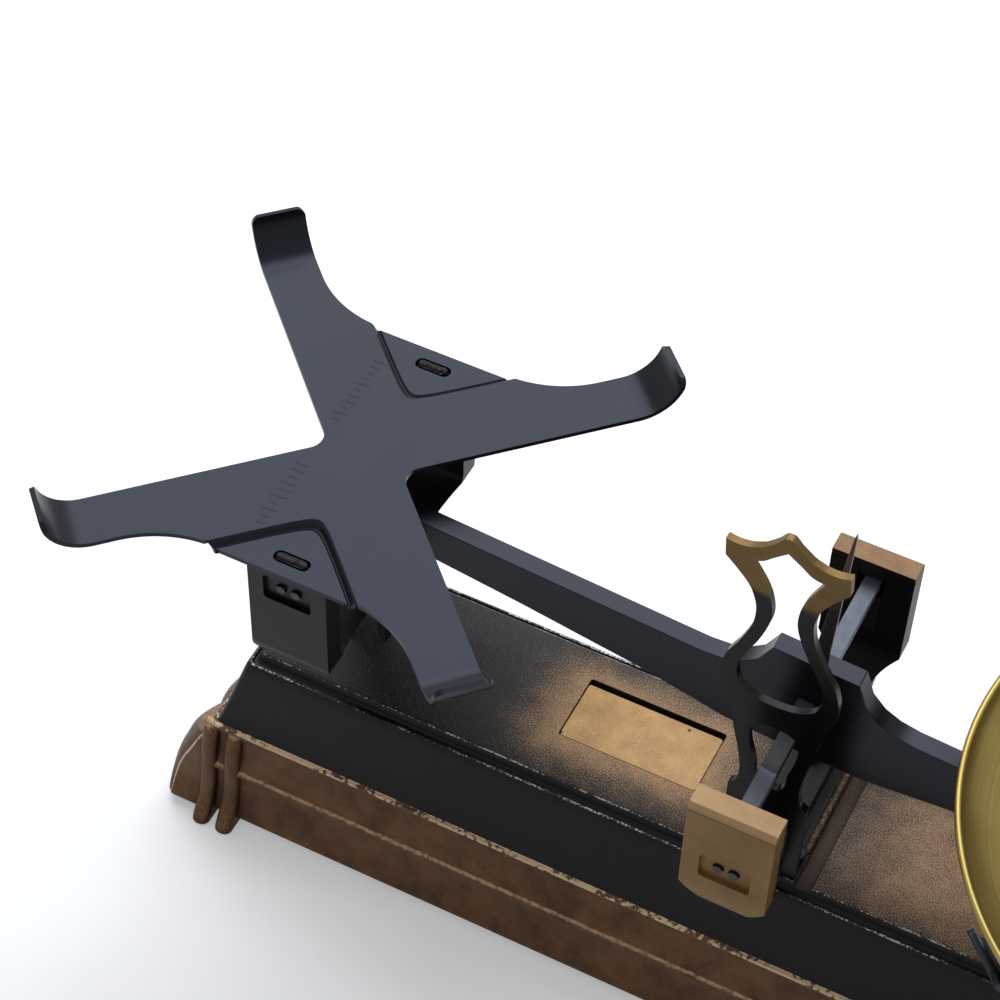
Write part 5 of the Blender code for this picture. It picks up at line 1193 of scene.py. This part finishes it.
for label, knife_x, knife_z in carriers:
    yoke = build_bracket(
        label + "_yoke_painted", (cast_enamel,),
        bracket_side(
            YOKE_HALF_GAP, YOKE_TOP, -YOKE_CHEEK_FOOT, YOKE_HALF_GAP / 2, -YOKE_DEPTH + YOKE_WEB,
            -YOKE_DEPTH),
        bracket_front(
            YOKE_HALF_WIDTH, YOKE_NECK_HALF, YOKE_TOP + OVERRUN, -YOKE_CHEEK_FOOT, -YOKE_DEPTH - OVERRUN,
            YOKE_DEPTH - YOKE_CHEEK_FOOT),
        YOKE_HALF_WIDTH, YOKE_HALF_GAP + HEAD_THICKNESS + OVERRUN, (knife_x, knife_z),
    )
    cut_heads(yoke, YOKE_HALF_GAP, (knife_x, knife_z), 1, knife_z - YOKE_POCKET_DROP - OVERRUN)
    shape = bmesh.new()
    half = STEM_THICKNESS / 2 + GAP
    outline = rounded_box(
        knife_x - STEM_TENON_HALF - GAP, knife_x + STEM_TENON_HALF + GAP, -half, half, 0.0005, 2)
    add_prism(shape, outline, "Z", knife_z - YOKE_DEPTH - OVERRUN, knife_z - YOKE_DEPTH + YOKE_WEB + OVERRUN)
    combine(yoke, shape, "DIFFERENCE")
    for side in (-1, 1):
        shape = bmesh.new()
        middle = side * (YOKE_HALF_GAP + HEAD_THICKNESS / 2)
        outline = rounded_box(
            knife_x - TENON_HALF_LENGTH + MOAT, knife_x + TENON_HALF_LENGTH - MOAT,
            middle - TENON_HALF_WIDTH + MOAT / 2, middle + TENON_HALF_WIDTH - MOAT / 2, 0.0015, 4)
        top = knife_z + PLATE_TOP - PANEL_DROP
        add_prism(shape, outline, "Z", knife_z + YOKE_TOP - OVERRUN, top)
        combine(yoke, shape, "UNION")
    round_edges(yoke, 0.0009, 3)
    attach(yoke, label + "_carrier")
    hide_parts(label + "_yoke")

# Pan supports
# Each is an X cut from two-millimetre steel sheet. A triangle between the arms is pressed down
# on two sides to meet the yoke, the arm tips are rolled up to hold the pan, and it is enamelled.

ARM_STRIP = 0.022
FLAT_REACH = 0.106
TIP_BEND = 0.0167
TIP_ANGLE = 83.0
BEND_STEPS = 16
WEB_EDGE = 0.063
WEB_FILLET = 0.047
NOTCH_FILLET = 0.007
TIP_FILLET = 0.0035
PANEL_APEX = 0.0345
PANEL_SLOPE = 0.0034
PANEL_ROUND = 0.006
PANEL_STEPS = 8
PANEL_CREASE = 0.0007
DIAGONAL = math.sqrt(0.5)
TIP_REACH = FLAT_REACH + TIP_BEND * math.radians(TIP_ANGLE)

# Black baking enamel on smooth sheet: glossy, so the flat top mirrors the lamp as slate grey.
sheet_enamel = mottled_finish(
    "glossy_enamel_on_sheet", (26.0, 3.0), ("#0C0D0F", "#141519"), (0.24, 0.34),
    (70.0, 1100.0, 0.9, 0.10, 0.0006), {"Specular IOR Level": 0.22, "Specular Tint": srgb("#D4DFFF")})


def fillet(before, corner, after, radius, steps):
    corner = Vector(corner)
    to_before = (Vector(before) - corner).normalized()
    to_after = (Vector(after) - corner).normalized()
    half = to_before.angle(to_after) / 2
    centre = corner + (to_before + to_after).normalized() * radius / math.sin(half)
    first = corner + to_before * radius / math.tan(half) - centre
    last = corner + to_after * radius / math.tan(half) - centre
    sweep = first.angle_signed(last)
    points = []
    for i in range(steps + 1):
        spoke = first.copy()
        spoke.rotate(Matrix.Rotation(-sweep * i / steps, 2))
        points.append(tuple(centre + spoke))
    return points


def support_outline():
    arm_half = ARM_STRIP / 2
    notch = arm_half / DIAGONAL
    tip_upper = ((TIP_REACH - arm_half) * DIAGONAL, (TIP_REACH + arm_half) * DIAGONAL)
    tip_lower = (tip_upper[1], tip_upper[0])
    web_corner = (WEB_EDGE - notch, WEB_EDGE)
    quarter = fillet((0.0, WEB_EDGE), web_corner, tip_upper, WEB_FILLET, 24)
    quarter += fillet(web_corner, tip_upper, tip_lower, TIP_FILLET, 6)
    quarter += fillet(tip_upper, tip_lower, (notch, 0.0), TIP_FILLET, 6)
    right = fillet(tip_lower, (notch, 0.0), (tip_lower[0], -tip_lower[1]), NOTCH_FILLET, 12)
    outline = quarter + right
    outline += [(a, -b) for a, b in reversed(quarter)]
    outline += [(-a, -b) for a, b in quarter]
    outline += [(-a, -b) for a, b in right]
    outline += [(-a, b) for a, b in reversed(quarter)]
    return outline


def panel_depth(a, b):
    """How far a point of the sheet is pressed down, from none at the V's edge to the full drop."""
    bend = math.hypot(a, PANEL_ROUND * 0.6) - PANEL_ROUND * 0.6
    into = (abs(b) - bend - PANEL_APEX) / PANEL_SLOPE
    crease = PANEL_CREASE * math.sin(math.pi * min(max(into - 0.4, 0.0), 1.0)) ** 2
    into = min(max(into, 0.0), 1.0)
    return PANEL_DROP * into * into * (3 - 2 * into) + crease


def pressed_place(a, b):
    reach = (abs(a) + abs(b)) * DIAGONAL
    rise = -panel_depth(a, b)
    if reach > FLAT_REACH:
        turn = (reach - FLAT_REACH) / TIP_BEND
        drawn_in = (reach - FLAT_REACH - TIP_BEND * math.sin(turn)) * DIAGONAL
        a -= math.copysign(drawn_in, a)
        b -= math.copysign(drawn_in, b)
        rise = TIP_BEND * (1 - math.cos(turn))
    return a, b, rise


def is_inside(point, outline):
    inside = False
    for (a, b), (c, d) in zip(outline, outline[1:] + outline[:1]):
        if (b > point[1]) != (d > point[1]) and point[0] < a + (c - a) * (point[1] - b) / (d - b):
            inside = not inside
    return inside


def build_support(label, knife_x, knife_z):
    outline = support_outline()
    slots = []
    for side in (-1, 1):
        middle = side * (YOKE_HALF_GAP + HEAD_THICKNESS / 2)
        slots.append(rounded_box(
            -TENON_HALF_LENGTH - MOAT / 2, TENON_HALF_LENGTH + MOAT / 2,
            middle - TENON_HALF_WIDTH - MOAT / 2, middle + TENON_HALF_WIDTH + MOAT / 2, 0.0025, 5))
    lines = []
    for side in (-1, 1):
        for i in range(PANEL_STEPS * 3 // 2 + 1):
            apex = PANEL_APEX + PANEL_SLOPE * i / PANEL_STEPS
            line = []
            for j in range(-20, 21):
                a = (WEB_EDGE + OVERRUN - apex) * math.copysign(abs(j / 20) ** 1.6, j) * 1.1
                bend = math.hypot(a, PANEL_ROUND * 0.6) - PANEL_ROUND * 0.6
                line.append((a, side * (apex + bend)))
            lines.append(line)
    arm_half = ARM_STRIP / 2 + OVERRUN
    for i in range(BEND_STEPS):
        reach = FLAT_REACH + (TIP_REACH - FLAT_REACH) * i / BEND_STEPS
        near = (reach - arm_half) * DIAGONAL
        far = (reach + arm_half) * DIAGONAL
        for a_side in (-1, 1):
            for b_side in (-1, 1):
                lines.append([(a_side * near, b_side * far), (a_side * far, b_side * near)])
    points = []
    edges = []
    loops = [(loop, True) for loop in [outline] + slots]
    for line, closed in loops + [(line, False) for line in lines]:
        first = len(points)
        points += line
        count = len(line)
        for i in range(count if closed else count - 1):
            edges.append((first + i, first + (i + 1) % count))
    flat_points, _, faces, _, _, _ = delaunay_2d_cdt([Vector(p) for p in points], edges, [], 0, GAP / 100)
    shape = bmesh.new()
    made = []
    for point in flat_points:
        a, b, rise = pressed_place(point[0], point[1])
        made.append(shape.verts.new((knife_x + a, b, knife_z + PLATE_TOP + rise)))
    for face in faces:
        middle = [sum(flat_points[i][axis] for i in face) / len(face) for axis in (0, 1)]
        if is_inside(middle, outline) and not any(is_inside(middle, slot) for slot in slots):
            new = shape.faces.new([made[i] for i in face])
            new.normal_update()
            if new.normal.z < 0:
                new.normal_flip()
    bmesh.ops.delete(shape, geom=[v for v in shape.verts if not v.link_faces], context="VERTS")
    sheet = bpy.data.meshes.new(label + "_pan_support")
    support = bpy.data.objects.new(label + "_pan_support_enamelled", sheet)
    shape.to_mesh(support.data)
    shape.free()
    support.data.materials.append(sheet_enamel)
    scene.collection.objects.link(support)
    wall = support.modifiers.new("sheet", "SOLIDIFY")
    wall.thickness = SHEET
    wall.offset = -1
    wall.use_even_offset = True
    bevel = support.modifiers.new("cut_edge", "BEVEL")
    bevel.width = 0.0005
    bevel.segments = 3
    bevel.limit_method = "ANGLE"
    bevel.angle_limit = math.radians(50)
    settle(support)
    shade_flats(support)
    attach(support, label + "_carrier")
    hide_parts(label + "_pan_support")


for label, knife_x, knife_z in carriers:
    build_support(label, knife_x, knife_z)

# Hammer marks
# Each sheet was trued with the edge of a hammer, which left two rows of short faint marks under
# the enamel, and each tenon was hammered over into a row of blunt lumps. Geometry Nodes lay one
# mark on each point of a row, with a random length and turn.

STROKE_PLACE = -0.019
STROKE_ROWS = ((0.046, 0.012), (-0.014, -0.046))
STROKE_PITCH = 0.0035
STROKE_LENGTH = 0.0085
STROKE_WIDTH = 0.0007
STROKE_HEIGHT = 0.00016
STROKE_TURN = 0.16
STROKE_SEED = 7
LUMP_PITCH = 0.0013
LUMP_LENGTH = 0.0030
LUMP_WIDTH = 0.0034
LUMP_TURN = 0.7
LUMP_SEED = 3

stroke_tree = bpy.data.node_groups.new("hammer_strokes", "GeometryNodeTree")
sockets = {}
for name, kind in (
    ("Points", "NodeSocketGeometry"), ("Length", "NodeSocketFloat"), ("Width", "NodeSocketFloat"),
    ("Height", "NodeSocketFloat"), ("Turn", "NodeSocketFloat"), ("Seed", "NodeSocketInt"),
    ("Finish", "NodeSocketMaterial"),
):
    sockets[name] = stroke_tree.interface.new_socket(name=name, in_out="INPUT", socket_type=kind).identifier
stroke_tree.interface.new_socket(name="Marks", in_out="OUTPUT", socket_type="NodeSocketGeometry")
given = add_node(stroke_tree, "NodeGroupInput").outputs
bead = add_node(stroke_tree, "GeometryNodeMeshIcoSphere", {"Radius": 0.5, "Subdivisions": 3})
share = add_node(stroke_tree, "FunctionNodeRandomValue", {
    "Seed": given["Seed"], 2: 0.35, 3: 1.0}, data_type="FLOAT")
length = add_node(stroke_tree, "ShaderNodeMath", {
    0: given["Length"], 1: share.outputs[1]}, operation="MULTIPLY")
size = add_node(stroke_tree, "ShaderNodeCombineXYZ", {
    "X": length.outputs[0], "Y": given["Width"], "Z": given["Height"]})
least = add_node(stroke_tree, "ShaderNodeMath", {0: given["Turn"], 1: -1.0}, operation="MULTIPLY")
angle = add_node(stroke_tree, "FunctionNodeRandomValue", {
    "Seed": given["Seed"], 2: least.outputs[0], 3: given["Turn"]}, data_type="FLOAT")
angle = add_node(stroke_tree, "ShaderNodeCombineXYZ", {"Z": angle.outputs[1]})
laid = add_node(stroke_tree, "GeometryNodeInstanceOnPoints", {
    "Points": given["Points"], "Instance": bead.outputs["Mesh"], "Rotation": angle.outputs[0],
    "Scale": size.outputs[0]})
real = add_node(stroke_tree, "GeometryNodeRealizeInstances", {"Geometry": laid.outputs[0]})
smooth = add_node(stroke_tree, "GeometryNodeSetShadeSmooth", {0: real.outputs[0]})
covered = add_node(stroke_tree, "GeometryNodeSetMaterial", {
    "Geometry": smooth.outputs[0], "Material": given["Finish"]})
add_node(stroke_tree, "NodeGroupOutput", {0: covered.outputs[0]})

for label, knife_x, knife_z in carriers:
    strokes = []
    for start, end in STROKE_ROWS:
        count = round(abs(end - start) / STROKE_PITCH)
        for i in range(count + 1):
            strokes.append((knife_x + STROKE_PLACE, start + (end - start) * i / count, knife_z + PLATE_TOP))
    lumps = []
    for side in (-1, 1):
        reach = TENON_HALF_LENGTH - MOAT - LUMP_LENGTH / 3
        count = round(2 * reach / LUMP_PITCH)
        for i in range(count + 1):
            lumps.append((
                knife_x - reach + 2 * reach * i / count, side * (YOKE_HALF_GAP + HEAD_THICKNESS / 2),
                knife_z + PLATE_TOP - PANEL_DROP))
    for name, points, length, width, height, turn, seed, finish, node in (
        ("hammer_strokes", strokes, STROKE_LENGTH, STROKE_WIDTH, STROKE_HEIGHT, STROKE_TURN, STROKE_SEED,
         sheet_enamel, "pan_support"),
        ("peened_tenons", lumps, LUMP_LENGTH, LUMP_WIDTH, TENON_PROUD * 2, LUMP_TURN, LUMP_SEED,
         cast_enamel, "yoke"),
    ):
        shape = bmesh.new()
        for point in points:
            shape.verts.new(point)
        marks = make_piece(label + "_" + name, shape)
        laying = marks.modifiers.new("laying", "NODES")
        laying.node_group = stroke_tree
        for socket, value in (
            ("Length", length), ("Width", width), ("Height", height), ("Turn", turn), ("Seed", seed),
            ("Finish", finish),
        ):
            laying[sockets[socket]] = value
        settle(marks)
        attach(marks, label + "_carrier")
        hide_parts(label + "_" + node)

# Stems, stay and hanger
# A steel stem runs from each yoke down through the deck to a fork on the stay, the hidden bar
# that keeps the pans level. The hanger under the deck holds the stay's middle pin.

for side in ("left", "right"):
    finish_copy(side + "_stem", side + "_carrier", bright_steel, 0.0005, 2)
finish_copy("stay_bar", "stay", bright_steel, 0.0006, 2)
finish_copy("stay_hanger", "root", inner_wash, 0.0006, 2)

# Pan
# A dished pan spun from brass sheet, with its rim rolled outwards. The brass is dull and a
# little tarnished, and the spinning left fine rings.

PAN_FLAT = 0.077
PAN_WALL_BEND = 0.060
PAN_DEPTH = 0.0203
PAN_SHEET = 0.0012
PAN_LIP = 0.0013
PAN_STEPS = 160
PAN_BEND_STEPS = 18

# Spun brass, slightly tarnished: yellow metal with the fine rings of the spinning tool.
pan_brass, tree, place = new_material("spun_brass_slightly_tarnished")
centred = add_node(tree, "ShaderNodeMapping", {
    "Vector": place, "Location": (-END_KNIFE_REACH, 0.0, 0.0)})
axes = add_node(tree, "ShaderNodeSeparateXYZ", {"Vector": centred.outputs[0]})
flat = add_node(tree, "ShaderNodeCombineXYZ", {"X": axes.outputs["X"], "Y": axes.outputs["Y"]})
radius = add_node(tree, "ShaderNodeVectorMath", {0: flat.outputs[0]}, operation="LENGTH")
rings = add_node(tree, "ShaderNodeTexNoise", {
    "W": radius.outputs["Value"], "Scale": 900.0, "Detail": 3.0}, noise_dimensions="1D")
cloud = add_node(tree, "ShaderNodeTexNoise", {"Vector": place, "Scale": 22.0, "Detail": 5.0})
both = add_node(tree, "ShaderNodeMix", {
    0: 0.7, 2: rings.outputs["Fac"], 3: cloud.outputs["Fac"]}, data_type="FLOAT")
shade = add_node(tree, "ShaderNodeValToRGB", {"Fac": both.outputs[0]})
ramp = shade.color_ramp
ramp.elements[0].position = 0.30
ramp.elements[0].color = srgb("#7A6733")
ramp.elements[1].position = 0.72
ramp.elements[1].color = srgb("#9A8A55")
gloss = add_node(tree, "ShaderNodeMapRange", {
    "Value": cloud.outputs["Fac"], "To Min": 0.26, "To Max": 0.40})
bump = add_node(tree, "ShaderNodeBump", {
    "Height": rings.outputs["Fac"], "Strength": 0.08, "Distance": 0.0005})
shader = add_node(tree, "ShaderNodeBsdfPrincipled", {
    "Base Color": shade.outputs["Color"], "Metallic": 1.0, "Roughness": gloss.outputs[0],
    "Normal": bump.outputs[0]})
add_node(tree, "ShaderNodeOutputMaterial", {"Surface": shader.outputs[0]})

pan_floor = KNIFE_HEIGHT - ARM_RISE + PLATE_TOP + GAP
outer = [(0.0, 0.0), (PAN_FLAT, 0.0)]
inner = [(0.0, PAN_SHEET), (PAN_FLAT, PAN_SHEET)]
inner_bend = PAN_WALL_BEND - PAN_SHEET
last = math.acos(1 - PAN_DEPTH / PAN_WALL_BEND)
for i in range(1, PAN_BEND_STEPS + 1):
    angle = last * i / PAN_BEND_STEPS
    outer.append((PAN_FLAT + PAN_WALL_BEND * math.sin(angle), PAN_WALL_BEND * (1 - math.cos(angle))))
    inner.append((PAN_FLAT + inner_bend * math.sin(angle), PAN_WALL_BEND - inner_bend * math.cos(angle)))
rim_radius, rim_height = outer.pop()
inner.pop()
lip = []
for i in range(11):
    angle = math.radians(-75 + 25 * i)
    lip.append((rim_radius + PAN_LIP * math.cos(angle), rim_height + PAN_LIP + PAN_LIP * math.sin(angle)))
profile = outer + lip + list(reversed(inner))
shape = bmesh.new()
made = []
for radius_here, height in profile:
    if radius_here == 0:
        made.append([shape.verts.new((END_KNIFE_REACH, 0.0, pan_floor + height))])
        continue
    made.append([
        shape.verts.new((END_KNIFE_REACH + a, b, pan_floor + height))
        for a, b in circle(0.0, 0.0, radius_here, PAN_STEPS)
    ])
for first, second in zip(made, made[1:]):
    for i in range(PAN_STEPS):
        corners = []
        for ring, place_in_ring in ((first, i), (first, i + 1), (second, i + 1), (second, i)):
            vertex = ring[place_in_ring % len(ring)]
            if vertex not in corners:
                corners.append(vertex)
        shape.faces.new(corners)
pan = make_piece("pan_brass", shape, (pan_brass,))
pan.data.shade_smooth()
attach(pan, "pan")
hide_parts("pan")

bpy.context.view_layer.update()
